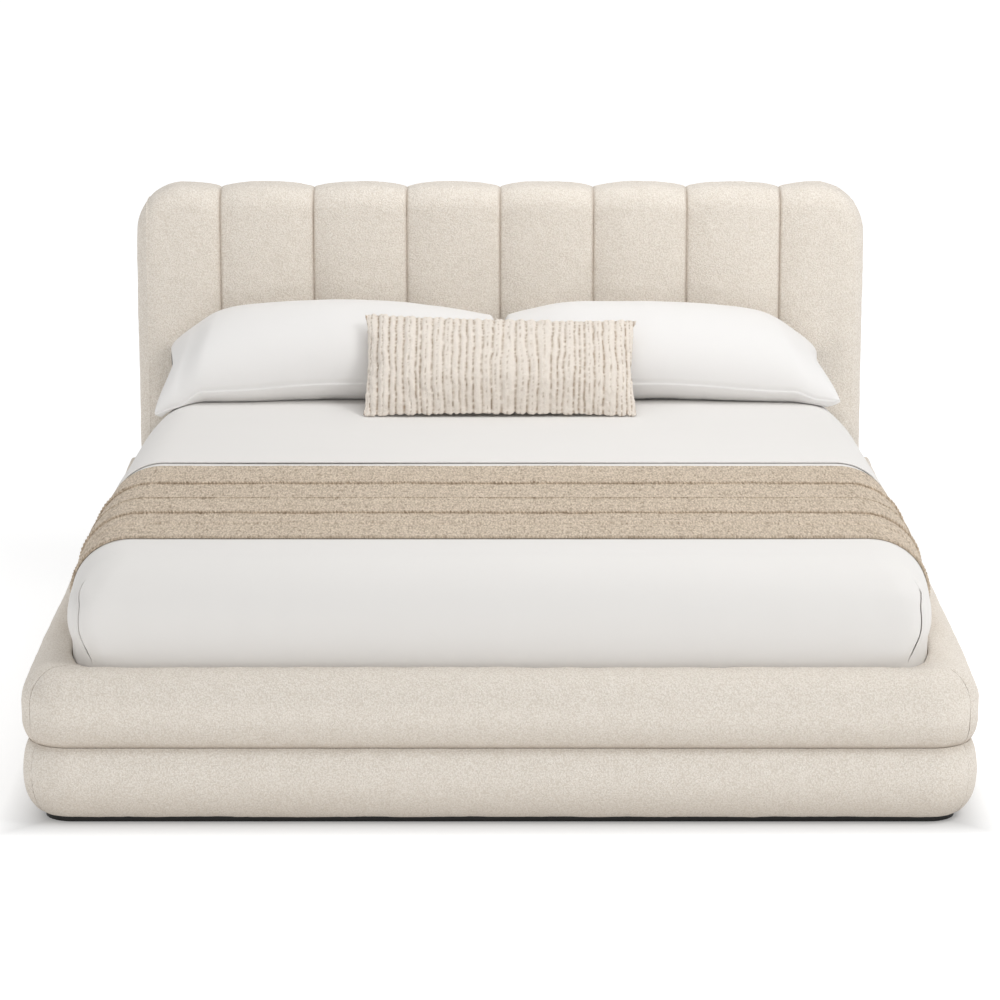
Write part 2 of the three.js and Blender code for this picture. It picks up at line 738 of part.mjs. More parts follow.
function lumbarGeometry() {
  const stations = 10;
  const around = 8;
  const rings = [];
  for (let i = 0; i <= stations; i++) {
    const u = -Math.cos((i / stations) * Math.PI);
    const fullness = Math.max(lumbarRoundness.endFullness, (1 - u * u) ** lumbarRoundness.across);
    const ring = [];
    for (let j = 0; j < 2 * around; j++) {
      const a = (j / around) * Math.PI;
      const swell = Math.abs(Math.sin(a)) ** lumbarRoundness.along;
      const depth = swell * (j <= around ? lumbar.back : -lumbar.front);
      const z = (lumbar.height / 2) * (1 - Math.cos(a));
      ring.push(new THREE.Vector3((lumbar.width / 2) * u, depth * fullness, z));
    }
    rings.push(ring);
  }
  return loft(rings, (p) => new THREE.Vector2(p.y, p.z));
}

function buildCushions() {
  addMesh('pillow_right', pillowGeometry(1), percale);
  addMesh('pillow_left', pillowGeometry(-1), percale);
  const cushion = addMesh('lumbar_cushion', lumbarGeometry(), creamKnit);
  cushion.rotation.x = -lumbarLean;
  cushion.position.set(0, lumbar.foot, restingHeight + lumbar.rise);
}

// ---- The bed -----------------------------------------------------------------------------

buildPlinth();
buildRails();
buildCornerBlock('corner_block_right', 1);
buildCornerBlock('corner_block_left', -1);
buildRolls();
buildDeck();
buildBrackets();
buildHeadboardFrame();
buildChannels();
buildBolts();
buildMattress();
buildCoverlet();
const runnerStart = footFace + runner.fromFoot;
buildLaidSheet('throw_runner', tanKnit, runnerStart, runnerStart + runner.width, runner.thickness, runner.hem);
buildLaidSheet('sheet_cuff', percale, footFace + cuff.fromFoot, footFace + cuff.toFoot, cuff.thickness, cuff.hem);
buildCushions();

export default bed;
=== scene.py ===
import math

import bmesh
import bpy
import numpy as np
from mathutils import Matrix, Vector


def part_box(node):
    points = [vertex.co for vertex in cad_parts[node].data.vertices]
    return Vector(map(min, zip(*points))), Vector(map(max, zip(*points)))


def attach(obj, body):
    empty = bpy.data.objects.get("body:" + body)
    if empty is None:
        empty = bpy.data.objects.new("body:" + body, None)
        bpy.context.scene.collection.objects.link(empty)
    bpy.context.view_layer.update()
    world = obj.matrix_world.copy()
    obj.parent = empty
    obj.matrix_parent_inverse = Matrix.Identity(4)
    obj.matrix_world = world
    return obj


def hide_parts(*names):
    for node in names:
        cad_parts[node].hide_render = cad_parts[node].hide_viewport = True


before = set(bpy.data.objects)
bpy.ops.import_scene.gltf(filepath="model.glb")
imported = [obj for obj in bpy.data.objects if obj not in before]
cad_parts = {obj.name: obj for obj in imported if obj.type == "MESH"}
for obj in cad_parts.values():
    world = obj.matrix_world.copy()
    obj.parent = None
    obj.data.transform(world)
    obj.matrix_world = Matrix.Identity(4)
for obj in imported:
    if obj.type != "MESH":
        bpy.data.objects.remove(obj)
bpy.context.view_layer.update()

# ---- Places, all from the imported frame, in metres ----

GAP = 0.0003  # clearance between pieces that touch
SAME_POINT = 2e-5  # points closer than this are joined

FOOT_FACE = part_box("upper_roll_foot")[0].y
BASE_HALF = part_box("upper_roll_right")[1].x
BASE_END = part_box("upper_roll_right")[1].y
BASE_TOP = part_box("upper_roll_foot")[1].z
SEAM_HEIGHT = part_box("lower_roll_foot")[1].z
PLINTH_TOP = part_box("plinth_front")[1].z
RAIL_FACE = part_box("side_rail_right")[1].x
RAIL_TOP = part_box("side_rail_right")[1].z
CORNER_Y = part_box("side_rail_right")[0].y - GAP
ROLL_DEPTH = BASE_HALF - RAIL_FACE
CORNER_X = RAIL_FACE - (CORNER_Y - FOOT_FACE - ROLL_DEPTH)

HEAD_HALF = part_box("headboard_lower_pad")[1].x
HEAD_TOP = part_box("headboard_channel_4")[1].z
HEAD_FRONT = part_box("headboard_channel_4")[0].y
HEAD_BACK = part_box("headboard_channel_4")[1].y
CHANNEL_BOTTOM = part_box("headboard_channel_4")[0].z
FRAME_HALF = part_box("headboard_panel")[1].x + GAP
FRAME_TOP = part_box("headboard_panel")[1].z + GAP
FRAME_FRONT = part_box("headboard_panel")[0].y - GAP

MATTRESS_LOW, MATTRESS_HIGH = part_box("mattress")
COVERLET_LOW, COVERLET_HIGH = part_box("coverlet")
RUNNER_LOW, RUNNER_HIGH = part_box("throw_runner")
CUFF_LOW, CUFF_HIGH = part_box("sheet_cuff")


# ---- Noise and mesh helpers ----

def lattice(i, j, k, seed):
    mixed = (i * 73856093) ^ (j * 19349663) ^ (k * 83492791) ^ (seed * 40503)
    mixed = ((mixed ^ (mixed >> 13)) * 1274126177) & 0xFFFFFFFF
    return ((mixed ^ (mixed >> 16)) & 0xFFFF) / 32767.5 - 1.0


def noise(points, size, seed=0):
    """Smooth noise between -1 and 1 with bumps of the given size (one number, or one per axis)."""
    at = np.asarray(points, float) / np.asarray(size, float)
    cell = np.floor(at).astype(np.int64)
    part = at - cell
    part = part * part * part * (part * (part * 6 - 15) + 10)
    total = np.zeros(len(at))
    for corner in range(8):
        step = np.array([corner & 1, corner >> 1 & 1, corner >> 2 & 1])
        weight = np.where(step, part, 1 - part).prod(axis=1)
        total += weight * lattice(*(cell + step).T, seed)
    return total


def smoothstep(x, low, high):
    t = np.clip((np.asarray(x, float) - low) / (high - low), 0, 1)
    return t * t * (3 - 2 * t)


def hill(x, centre, width):
    """A smooth hill of height 1 at the centre."""
    return np.exp(-(((x - centre) / width) ** 2))


def ripples(points, *layers):
    """The sum of several noises, each given as its height, size and seed."""
    return sum(height * noise(points, size, seed) for height, size, seed in layers)


def columns(*values):
    """Values side by side as the columns of an array; single numbers are repeated."""
    return np.column_stack(np.broadcast_arrays(*values))


def facing(angle):
    """Normals round a foot corner, from the foot's at 0 to the right side's at 90 degrees."""
    return columns(np.sin(angle), -np.cos(angle))


def run_along(line):
    """The distance run at each point of a polyline."""
    return np.concatenate([[0], np.cumsum(np.linalg.norm(np.diff(line, axis=0), axis=1))])


def rounded_off(from_side, radius):
    """How far a rounded edge has fallen away at a distance from the side."""
    short = max(0.0, radius - from_side)
    return radius - math.sqrt(max(radius ** 2 - short ** 2, 0))


def grid_quads(rows, cols, wrap=False):
    r, c = np.meshgrid(np.arange(rows - 1), np.arange(cols if wrap else cols - 1), indexing="ij")
    a = (r * cols + c).ravel()
    b = (r * cols + (c + 1) % cols).ravel()
    return np.stack([a, b, b + cols, a + cols], axis=1)


def skin_faces(rows, cols):
    """Faces of a closed skin over rings, with a flat cap on the first and the last."""
    last = (rows - 1) * cols
    return grid_quads(rows, cols, wrap=True).tolist() + [list(range(cols)), list(range(last, last + cols))]


def place_object(name, data):
    thing = bpy.data.objects.new(name, data)
    bpy.context.scene.collection.objects.link(thing)
    return thing


def make_object(name, points, faces, material, smooth_angle=None):
    mesh = bpy.data.meshes.new(name)
    mesh.from_pydata(np.asarray(points, float).tolist(), [], [list(map(int, f)) for f in faces])
    cleaner = bmesh.new()
    cleaner.from_mesh(mesh)
    bmesh.ops.remove_doubles(cleaner, verts=cleaner.verts, dist=SAME_POINT)
    bmesh.ops.recalc_face_normals(cleaner, faces=cleaner.faces)
    cleaner.to_mesh(mesh)
    cleaner.free()
    mesh.polygons.foreach_set("use_smooth", [True] * len(mesh.polygons))
    if smooth_angle:
        mesh.set_sharp_from_angle(angle=math.radians(smooth_angle))
    mesh.materials.append(material)
    return place_object(name, mesh)


def triples(layer, key):
    flat = np.empty(len(layer) * 3)
    layer.foreach_get(key, flat)
    return flat.reshape(-1, 3)


def coordinates(piece):
    return triples(piece.data.vertices, "co")


def normals(piece):
    return triples(piece.data.vertex_normals, "vector")


def move_points(piece, points):
    piece.data.vertices.foreach_set("co", np.asarray(points, float).ravel())
    piece.data.update()


def loft(rings, material, name, smooth_angle=None):
    """A closed skin over rings of equal length."""
    rings = np.asarray(rings, float)
    return make_object(name, rings.reshape(-1, 3), skin_faces(*rings.shape[:2]), material, smooth_angle)


def arc(cx, cy, rx, ry, start, end, steps):
    angle = np.radians(np.linspace(start, end, steps + 1))
    return columns(cx + rx * np.cos(angle), cy + ry * np.sin(angle))


def resample(line, step=None, count=None):
    """The same polyline with points about one step apart, or with this count of points."""
    line = np.asarray(line, float)
    run = run_along(line)
    at = np.linspace(0, run[-1], count or max(2, round(run[-1] / step) + 1))
    return columns(*(np.interp(at, run, values) for values in line.T))


def shade_points(piece, attribute, amount):
    """Stores a darkness from 0 to 1 for each point, for the material to read."""
    layer = piece.data.attributes.new(attribute, "FLOAT", "POINT")
    layer.data.foreach_set("value", np.clip(amount, 0, 1))


def finish_piece(piece, body, node):
    piece.name = piece.data.name = f"{node}_soft"
    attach(piece, body)
    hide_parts(node)


# ---- Materials ----

class Nodes:
    """A short way to add and link shader nodes."""

    def __init__(self, name, roughness, sheen=0.0):
        self.material = bpy.data.materials.new(name)
        self.material.use_nodes = True
        self.tree = self.material.node_tree
        self.shader = self.tree.nodes["Principled BSDF"]
        self.shader.inputs["Roughness"].default_value = roughness
        self.shader.inputs["Sheen Weight"].default_value = sheen
        self.shader.inputs["Sheen Roughness"].default_value = 0.6
        self.place = self.tree.nodes.new("ShaderNodeTexCoord").outputs["Object"]

    def add(self, kind, settings=None, **inputs):
        node = self.tree.nodes.new(kind)
        for key, value in (settings or {}).items():
            setattr(node, key, value)
        for key, value in inputs.items():
            socket = node.inputs[int(key[1:]) if key[0] == "_" else key.replace("_", " ")]
            if isinstance(value, bpy.types.NodeSocket):
                self.tree.links.new(value, socket)
            else:
                socket.default_value = value
        return node

    def stretched(self, scale, turn=(0, 0, 0)):
        node = self.add("ShaderNodeMapping", Vector=self.place, Scale=scale, Rotation=turn)
        return node.outputs["Vector"]

    def noise(self, scale, detail=2.0, vector=None, roughness=0.5, distortion=0.0):
        node = self.add("ShaderNodeTexNoise", Vector=vector or self.place, Scale=scale, Detail=detail,
                        Roughness=roughness, Distortion=distortion)
        return node.outputs["Fac"]

    def cells(self, scale, vector=None, feature="SMOOTH_F1"):
        node = self.add("ShaderNodeTexVoronoi", {"feature": feature}, Vector=vector or self.place,
                        Scale=scale)
        return node.outputs["Distance"]

    def stored(self, attribute):
        return self.add("ShaderNodeAttribute", {"attribute_name": attribute}).outputs["Fac"]

    def math(self, operation, a, b=0.0, c=0.0, clamp=False):
        node = self.add("ShaderNodeMath", {"operation": operation, "use_clamp": clamp}, _0=a, _1=b, _2=c)
        return node.outputs["Value"]

    def between(self, fac, low, high, from_min=0.0, from_max=1.0):
        node = self.add("ShaderNodeMapRange", Value=fac, From_Min=from_min, From_Max=from_max,
                        To_Min=low, To_Max=high)
        return node.outputs["Result"]

    def mix(self, fac, a, b):
        node = self.add("ShaderNodeMix", {"data_type": "RGBA"}, _0=fac, _6=a, _7=b)
        return node.outputs[2]

    def bump(self, height, distance, strength=1.0, below=None):
        inputs = {"Height": height, "Distance": distance, "Strength": strength}
        if below is not None:
            inputs["Normal"] = below
        return self.add("ShaderNodeBump", **inputs).outputs["Normal"]

    def wear(self, colour, normal=None, roughness=None):
        """Links the finished sockets to the shader."""
        for name, socket in (("Base Color", colour), ("Normal", normal), ("Roughness", roughness)):
            if socket is not None:
                self.tree.links.new(socket, self.shader.inputs[name])
        return self.material


def rgb(r, g, b):
    return (r, g, b, 1.0)


def boucle_material():
    """Cream boucle: small curled loops with darker gaps; the attribute fold adds painted shade, dark brown
    along the seams and towards the bottom of the rolls.
    """
    n = Nodes("boucle", 0.95, sheen=0.12)
    curl = n.add("ShaderNodeTexNoise", Vector=n.place, Scale=190.0, Detail=2.0).outputs["Color"]
    warped = n.add("ShaderNodeVectorMath", {"operation": "MULTIPLY_ADD"}, _0=curl,
                   _1=(0.0035, 0.0035, 0.0035), _2=n.place).outputs["Vector"]
    loops = n.between(n.cells(300.0, warped), 1.0, 0.0, 0.05, 0.62)
    threads = n.noise(700.0, 2.0, roughness=0.6)
    height = n.math("MULTIPLY_ADD", threads, 0.4, loops)
    patches = n.math("MULTIPLY_ADD", n.noise(26.0, 4.0, roughness=0.6), 0.26, -0.08)
    shade = n.math("ADD", patches, n.between(height, 0.06, 0.90, 0.15, 1.15))
    cream = n.mix(shade, rgb(0.69, 0.618, 0.53), rgb(0.955, 0.90, 0.825))
    # Painted shade: where the stored fold value is high, the cream turns towards this dark brown.
    return n.wear(n.mix(n.stored("fold"), cream, rgb(0.40, 0.325, 0.25)), n.bump(height, 0.0022, 0.55))


def percale_material(name, tint=(0.845, 0.825, 0.80)):
    """Smooth white cotton: a fine plain weave and faint soft creases."""
    n = Nodes(name, 0.82, sheen=0.06)
    slubs = n.noise(900.0, 1.0, n.stretched((1.0, 0.15, 0.15)))
    weft = n.noise(900.0, 1.0, n.stretched((0.15, 1.0, 1.0)))
    weave = n.math("ADD", slubs, weft)
    shade = n.math("MULTIPLY_ADD", weave, 0.12, n.math("MULTIPLY", n.noise(5.0, 3.0), 0.5))
    dark = rgb(*(value * 0.965 for value in tint))
    soft = n.bump(n.noise(9.0, 2.0, distortion=0.4), 0.004, 0.25)
    return n.wear(n.mix(shade, dark, rgb(*tint)), n.bump(weave, 0.0002, 0.3, soft))


def knit_material():
    """Tan runner cloth: slubbed yarn tufts in heathered browns, longer along the bed than across."""
    n = Nodes("tan_knit", 0.95, sheen=0.1)
    long_way = n.stretched((1.0, 0.30, 0.55))
    across = n.noise(330.0, 3.0, long_way, roughness=0.6, distortion=0.7)
    tufts = n.cells(250.0, long_way)
    height = n.math("MULTIPLY_ADD", tufts, -0.8, across)
    streaks = n.noise(55.0, 4.0, n.stretched((0.25, 1.0, 1.0)), roughness=0.65)
    shade = n.math("MULTIPLY_ADD", streaks, 0.55, n.between(height, -0.32, 0.62, -0.3, 0.45))
    return n.wear(n.mix(shade, rgb(0.31, 0.225, 0.145), rgb(0.87, 0.745, 0.60)), n.bump(height, 0.003, 0.9))


def ribbed_material():
    """Cream fuzzy yarn; a stored darkness paints shade into the valleys between the ribs."""
    n = Nodes("cream_rib", 0.95, sheen=0.15)
    height = n.math("MULTIPLY_ADD", n.cells(260.0), -0.7, n.noise(420.0, 3.0, roughness=0.65))
    yarn = n.mix(n.between(height, -0.25, 0.6, -0.1, 1.0), rgb(0.84, 0.77, 0.69), rgb(1.0, 0.965, 0.915))
    # Painted shade: the stored value turns the yarn towards this dark brown in the valleys.
    return n.wear(n.mix(n.stored("painted_groove_shade"), yarn, rgb(0.36, 0.26, 0.175)), n.bump(height, 0.0022, 0.6))


def wood_material(name, light, dark, along):
    """Planed softwood: growth rings stretched along the piece, with fine pores."""
    n = Nodes(name, 0.6)
    scale = [1.0, 1.0, 1.0]
    scale[along] = 0.06
    grain = n.stretched(tuple(scale))
    rings = n.noise(28.0, 4.0, grain, roughness=0.6, distortion=1.2)
    pores = n.noise(420.0, 2.0, grain)
    shade = n.math("MULTIPLY_ADD", pores, 0.3, n.between(rings, -0.2, 0.9, 0.3, 0.7))
    wood = n.mix(shade, rgb(*dark), rgb(*light))
    return n.wear(wood, n.bump(pores, 0.0004, 0.5), n.between(rings, 0.5, 0.72))


def paint_material():
    """Satin black paint, rubbed a little at the brush marks."""
    n = Nodes("black_paint", 0.5)
    marks = n.noise(180.0, 3.0, n.stretched((0.1, 0.1, 1.0)))
    black = n.mix(marks, rgb(0.005, 0.005, 0.0045), rgb(0.014, 0.013, 0.012))
    return n.wear(black, n.bump(marks, 0.0003, 0.4), n.between(marks, 0.42, 0.62))


def steel_material():
    """Zinc-plated steel with a faint spangle."""
    n = Nodes("zinc_steel", 0.4)
    n.shader.inputs["Metallic"].default_value = 1.0
    spangle = n.cells(160.0, feature="F1")
    zinc = n.mix(spangle, rgb(0.46, 0.47, 0.49), rgb(0.66, 0.67, 0.69))
    return n.wear(zinc, roughness=n.between(spangle, 0.3, 0.5))


def back_cloth_material():
    """Plain-woven cloth over the headboard's back."""
    n = Nodes("back_cloth", 0.95, sheen=0.08)
    warp = n.noise(700.0, 1.0, n.stretched((1.0, 1.0, 0.1)))
    weft = n.noise(700.0, 1.0, n.stretched((0.1, 1.0, 1.0)))
    weave = n.math("ADD", warp, weft)
    shade = n.math("MULTIPLY_ADD", n.noise(7.0, 3.0), 0.4, n.math("MULTIPLY", weave, 0.3))
    return n.wear(n.mix(shade, rgb(0.46, 0.40, 0.335), rgb(0.62, 0.555, 0.48)), n.bump(weave, 0.0006, 0.6))


def ticking_material():
    """White knitted ticking with a lattice of quilting on the mattress border."""
    n = Nodes("ticking", 0.85, sheen=0.08)
    knit = n.noise(700.0, 2.0)
    stripe = n.add("ShaderNodeTexWave", {"wave_type": "BANDS", "bands_direction": "DIAGONAL"},
                   Vector=n.place, Scale=9.0, Distortion=0.6).outputs["Fac"]
    white = n.mix(n.math("MULTIPLY", stripe, knit), rgb(0.80, 0.79, 0.77), rgb(0.88, 0.87, 0.85))
    return n.wear(white, n.bump(n.math("MULTIPLY_ADD", knit, 0.2, stripe), 0.0015, 0.5))


BOUCLE = boucle_material()
PERCALE = percale_material("percale")
PILLOW_COTTON = percale_material("pillow_percale", (0.875, 0.86, 0.845))
KNIT = knit_material()
RIBBED = ribbed_material()
PINE_X, PINE_Y, PINE_Z = (wood_material(name, (0.66, 0.47, 0.28), (0.44, 0.28, 0.14), axis)
                          for axis, name in enumerate(("pine_across", "pine_along", "pine_upright")))
PLY = wood_material("plywood", (0.70, 0.53, 0.34), (0.52, 0.36, 0.21), 0)
PAINT = paint_material()
STEEL = steel_material()
BACK_CLOTH = back_cloth_material()
TICKING = ticking_material()


def dress_frame():
    """Gives every hard CAD node its procedural material."""
    rules = (
        (("plinth", "center_leg"), PAINT),
        (("corner_bracket", "headboard_bolt"), STEEL),
        (("headboard_panel",), PLY),
        (("side_rail", "slat_ledger", "center_beam"), PINE_Y),
        (("slat", "foot_rail", "head_rail", "headboard_top_rail", "headboard_bottom_rail"), PINE_X),
        (("corner_block", "headboard_stile", "headboard_center_stile"), PINE_Z),
    )
    for name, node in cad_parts.items():
        for starts, material in rules:
            if name.startswith(starts):
                node.data.materials.clear()
                node.data.materials.append(material)
                break


# ---- Base rolls ----

CELL = 0.0055  # spacing of points on the upholstery
SEAM_PUCKER, PUCKER_REACH = 0.0022, 0.009
MITRE = math.radians(52)  # where the foot section ends in a corner, from the foot's normal
MITRE_GAP = GAP / 0.23  # the clearance there, as an angle
CORNER_BEND = RAIL_FACE - CORNER_X
NOTCH = 0.022
ROLL_LIP = 0.022
LIP_START = 0.009
HANG = 0.0120  # height of the lower roll's lowest edge over the floor
PLINTH_FACE = 0.020  # the plinth's face, outside the rail's
SLIMMING = ((0.16, -0.85, -0.05), (0.56, 0.25, 1.0))  # shares of a side roll's depth lost, each between two y


def upper_section():
    """The upper roll as [distance out from the rail, height]: first what shows, then what is hidden."""
    low = SEAM_HEIGHT + GAP
    notch = ROLL_DEPTH - NOTCH
    crown_centre, crown_radius = BASE_TOP - 0.08, 0.078
    shown = np.concatenate([
        arc(notch, low + 0.05, NOTCH, 0.05, -64, 0, 16),
        arc(ROLL_DEPTH - crown_radius, crown_centre, crown_radius, BASE_TOP - crown_centre, 0, 90, 30),
        arc(-0.012, BASE_TOP - 0.014, ROLL_LIP - 0.012, 0.014, 90, 180, 8),
    ])
    hidden = [[-ROLL_LIP, RAIL_TOP + GAP], [GAP, RAIL_TOP + GAP], [GAP, low], [notch + 0.004, low]]
    return resample(shown, CELL), np.array(hidden)


def lower_section():
    """The lower roll, which hangs a little below the plinth's top in front of the plinth."""
    low = PLINTH_TOP + GAP
    notch = ROLL_DEPTH - NOTCH
    widest, curl = 0.108, 0.048
    shown = np.concatenate([
        arc(ROLL_DEPTH - curl, widest, curl, widest - HANG, -90, 0, 24),
        arc(notch, widest, NOTCH, SEAM_HEIGHT - widest, 4, 67, 20),
        [[notch + 0.006, SEAM_HEIGHT]],
    ])
    hidden = [[notch + 0.004, SEAM_HEIGHT], [GAP, SEAM_HEIGHT], [GAP, low], [PLINTH_FACE + 0.001, low],
              [PLINTH_FACE + 0.001, HANG + 0.003]]
    return resample(shown, CELL), np.array(hidden)


def corner_line(start, end, steps):
    normal = facing(np.linspace(start, end, steps + 1))
    return [CORNER_X, CORNER_Y] + CORNER_BEND * normal, normal


def foot_line():
    """Places and outward normals along the foot rail's face, round both corners to the mitres."""
    place, normal = corner_line(0, MITRE - MITRE_GAP, 20)
    across = np.linspace(-CORNER_X, CORNER_X, round(2 * CORNER_X / CELL))[1:-1]
    flip = [-1.0, 1.0]
    places = np.concatenate([(place * flip)[::-1], columns(across, place[0, 1]), place])
    outward = np.concatenate([(normal * flip)[::-1], columns(0 * across, -1.0), normal])
    return places, outward, np.ones(len(places))


def side_line(side, slimming):
    """The same along a side rail, with the share of the roll's depth left at each place."""
    place, normal = corner_line(MITRE + MITRE_GAP, math.pi / 2, 14)
    along = np.linspace(CORNER_Y, BASE_END, round((BASE_END - CORNER_Y) / CELL))[1:]
    slimmer = sum(share * smoothstep(along, *span) for share, *span in SLIMMING)
    bulge = np.concatenate([np.ones(len(place)), 1 - slimming * slimmer])
    places = np.concatenate([place, columns(RAIL_FACE, along)]) * [side, 1.0]
    outward = np.concatenate([normal, columns(1.0, 0 * along)]) * [side, 1.0]
    return places, outward, bulge


def seam_dip(places, both_ends):
    """How far the cover dips just beside its end seams, along the line."""
    run = run_along(places)
    dips = [SEAM_PUCKER * np.clip(1 - away / PUCKER_REACH, 0, 1) ** 2 for away in (run, run[-1] - run)]
    return sum(dips) if both_ends else dips[0]


def lip_edge(place, normal):
    """Where the inner edge of a roll's lip ends beside a place: just clear of the coverlet."""
    right = np.array([abs(normal[0]), normal[1]])
    rail_core = [abs(place[0]), place[1]] - CORNER_BEND * right
    core_x, core_y = SIDE - LOW_CORNER, COVERLET_LOW.y + LOW_CORNER
    along = (rail_core[1] - CORNER_Y) / (BASE_END - CORNER_Y)
    core = np.array([rail_core[0] * core_x / CORNER_X, core_y + along * (BASE_END - core_y)])
    edge = core + LOW_CORNER * right
    tucked = dressed(np.array([[*edge, BASE_TOP]]))[0, :2] + LIP_CLEARANCE * right
    return tucked * [math.copysign(1, place[0]), 1]


def roll(name, section, line, both_ends):
    shown, hidden = section
    places, outward, bulge = line
    dip = seam_dip(places, both_ends)
    profile = np.concatenate([shown, hidden])
    lower = profile[:, 1].max() < RAIL_TOP
    rings = np.empty((len(places), len(profile), 3))
    for i, (place, normal, share) in enumerate(zip(places, outward, bulge)):
        out, height = profile.T.copy()
        if lower:
            swung = GAP + (out - GAP) * share
            height[(height < PLINTH_TOP) & (swung < PLINTH_FACE + 0.0008)] = PLINTH_TOP + GAP
        lip = out < -LIP_START
        past = (-LIP_START - out[lip, None]) / (ROLL_LIP - LIP_START)
        out[out > GAP] = GAP + (out[out > GAP] - GAP) * share
        out[:len(shown)] -= dip[i]
        rings[i, :, :2] = place + normal * out[:, None]
        if not lower:
            root = place - normal * LIP_START
            rings[i, lip, :2] = root + (lip_edge(place, normal) - root) * past
        rings[i, :, 2] = height
    piece = loft(rings, BOUCLE, name, smooth_angle=50)
    roughen(piece, lambda p: np.abs(p[:, 2] - SEAM_HEIGHT) < 0.002)
    points = coordinates(piece)
    height = points[:, 2]
    # Painted shade: darker along the seam between the rolls and towards the bottom of each roll, where little
    # light reaches.
    fold = 0.40 * hill(height, SEAM_HEIGHT, 0.010 + 0.003 * noise(points, 0.02, 6))
    if lower:
        fold += 0.45 * smoothstep(-height, -0.130, 0.0)
    else:
        fold += 0.36 * smoothstep(-height, -0.265, -0.185)
    shade_points(piece, "fold", fold)
    finish_piece(piece, "bed_frame", name)


def roughen(piece, pressed, across=1.0):
    """Lets the upholstery swell and pucker slightly; pressed points touch a neighbour and stay."""
    points = coordinates(piece)
    lumps = ripples(points, (0.0010, 0.07, 3), (0.0006, 0.022, 5), (0.0003, 0.0085, 9)) - 0.0010
    lumps[pressed(points)] = 0
    moved = normals(piece) * lumps[:, None]
    moved[:, 0] *= across
    move_points(piece, points + moved)


def build_rolls():
    for level, section, slimming in (("upper", upper_section(), 1.0), ("lower", lower_section(), 0.5)):
        roll(f"{level}_roll_foot", section, foot_line(), True)
        roll(f"{level}_roll_left", section, side_line(-1, slimming), False)
        roll(f"{level}_roll_right", section, side_line(1, slimming), False)


# ---- Headboard ----

CHANNEL_DIP = 0.025  # how far a seam lies behind its channels' fronts
CROWN = 0.0145  # and below their tops
TOP_RADIUS = 0.058
BACK_RADIUS = 0.018
ROUNDNESS = 0.985  # the share of a half circle that a channel's section takes
EDGE_RADIUS = 0.062
CORNER_RADIUS = 0.13


def channel_outline(front, top, back, top_radius):
    """One slice of a channel's skin from the bottom of its front over the top to its back edge."""
    return resample(np.concatenate([
        [[front, CHANNEL_BOTTOM]],
        arc(front + top_radius, top - top_radius, top_radius, top_radius, 180, 90, 16),
        arc(back - BACK_RADIUS, top - BACK_RADIUS, BACK_RADIUS, BACK_RADIUS, 90, 0, 6),
    ]), count=170)


def channel(index):
    name = f"headboard_channel_{index}"
    low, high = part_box(name)
    middle, reach = (low.x + high.x) / 2, (high.x - low.x + GAP) / 2
    outer = abs(middle) + reach > HEAD_HALF - 0.01
    outward = math.copysign(1, middle)
    turns = np.linspace(0, math.pi, round(math.pi * reach / CELL * 0.8))
    inset = CORNER_RADIUS - (HEAD_HALF - FRAME_HALF)
    rings = []
    past_frame = False
    for u in -np.cos(turns):
        x = middle + reach * u
        round_share = rounded_off(1 - ROUNDNESS * abs(u), 1) / rounded_off(1 - ROUNDNESS, 1)
        fall = 0.6 * abs(u) ** 2.6 + 0.4 * round_share
        fall += 0.18 * max(0.0, (abs(u) - 0.95) / 0.05) ** 2
        front, top, back = HEAD_FRONT + CHANNEL_DIP * fall, HEAD_TOP - CROWN * fall, HEAD_BACK
        radius = TOP_RADIUS
        if outer and u * outward > 0:
            from_side = HEAD_HALF - abs(x)
            front = HEAD_FRONT + rounded_off(from_side, EDGE_RADIUS)
            back = HEAD_BACK - rounded_off(from_side, BACK_RADIUS)
            top = HEAD_TOP - rounded_off(from_side, CORNER_RADIUS)
            radius = min(TOP_RADIUS, (back - front) * 0.45)
        skin = channel_outline(front, top, back, radius)
        frame_top = FRAME_TOP - rounded_off(FRAME_HALF - abs(x), inset)
        inner = [[back, frame_top], [FRAME_FRONT, frame_top], [FRAME_FRONT, CHANNEL_BOTTOM]]
        solid = [[back, frame_top], [back, (frame_top + CHANNEL_BOTTOM) / 2], [back, CHANNEL_BOTTOM]]
        beyond = outer and abs(x) > FRAME_HALF
        if beyond != past_frame and outer:
            wall = math.copysign(FRAME_HALF, x)
            for tail in (solid, inner) if past_frame else (inner, solid):
                rings.append(np.insert(np.concatenate([skin, tail]), 0, wall, axis=1))
            past_frame = beyond
        rings.append(np.insert(np.concatenate([skin, solid if beyond else inner]), 0, x, axis=1))
    piece = loft(rings, BOUCLE, name, smooth_angle=50)
    points = coordinates(piece)
    from_seam = reach - np.abs(points[:, 0] - middle)
    free = smoothstep(from_seam, 0.0005, 0.006)
    if outer:
        free = np.where((points[:, 0] - middle) * outward > 0, 1.0, free)
    roughen(piece, lambda p: (np.abs(p[:, 1] - FRAME_FRONT) < 1e-4) | (p[:, 2] < CHANNEL_BOTTOM + 1e-4), free)
    # Painted shade: a dark brown line within a few millimetres of each seam between channels.
    shade_points(piece, "fold", np.where(free < 1, 0.30 * hill(from_seam, 0, 0.0045), 0.0))
    finish_piece(piece, "bed_frame", name)


def build_headboard():
    for index in range(1, 9):
        channel(index)


# ---- Headboard's lower pad and back cover ----

TACK_SPACING = 0.075
PAD_LOW, PAD_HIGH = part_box("headboard_lower_pad")
COVER_LOW, COVER_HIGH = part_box("headboard_back_cover")


def rounded_box_outline(front, back, low, high, radius):
    """A slice of the pad, always with the same number of points."""
    upright = np.linspace(low + radius, high - radius, 40)[1:-1]
    depth = np.linspace(back, front + radius, 14)[:-1]
    return np.concatenate([
        columns(depth, low),
        arc(front + radius, low + radius, radius, radius, 270, 180, 6),
        columns(front, upright),
        arc(front + radius, high - radius, radius, radius, 180, 90, 6),
        columns(depth[::-1], high),
    ])


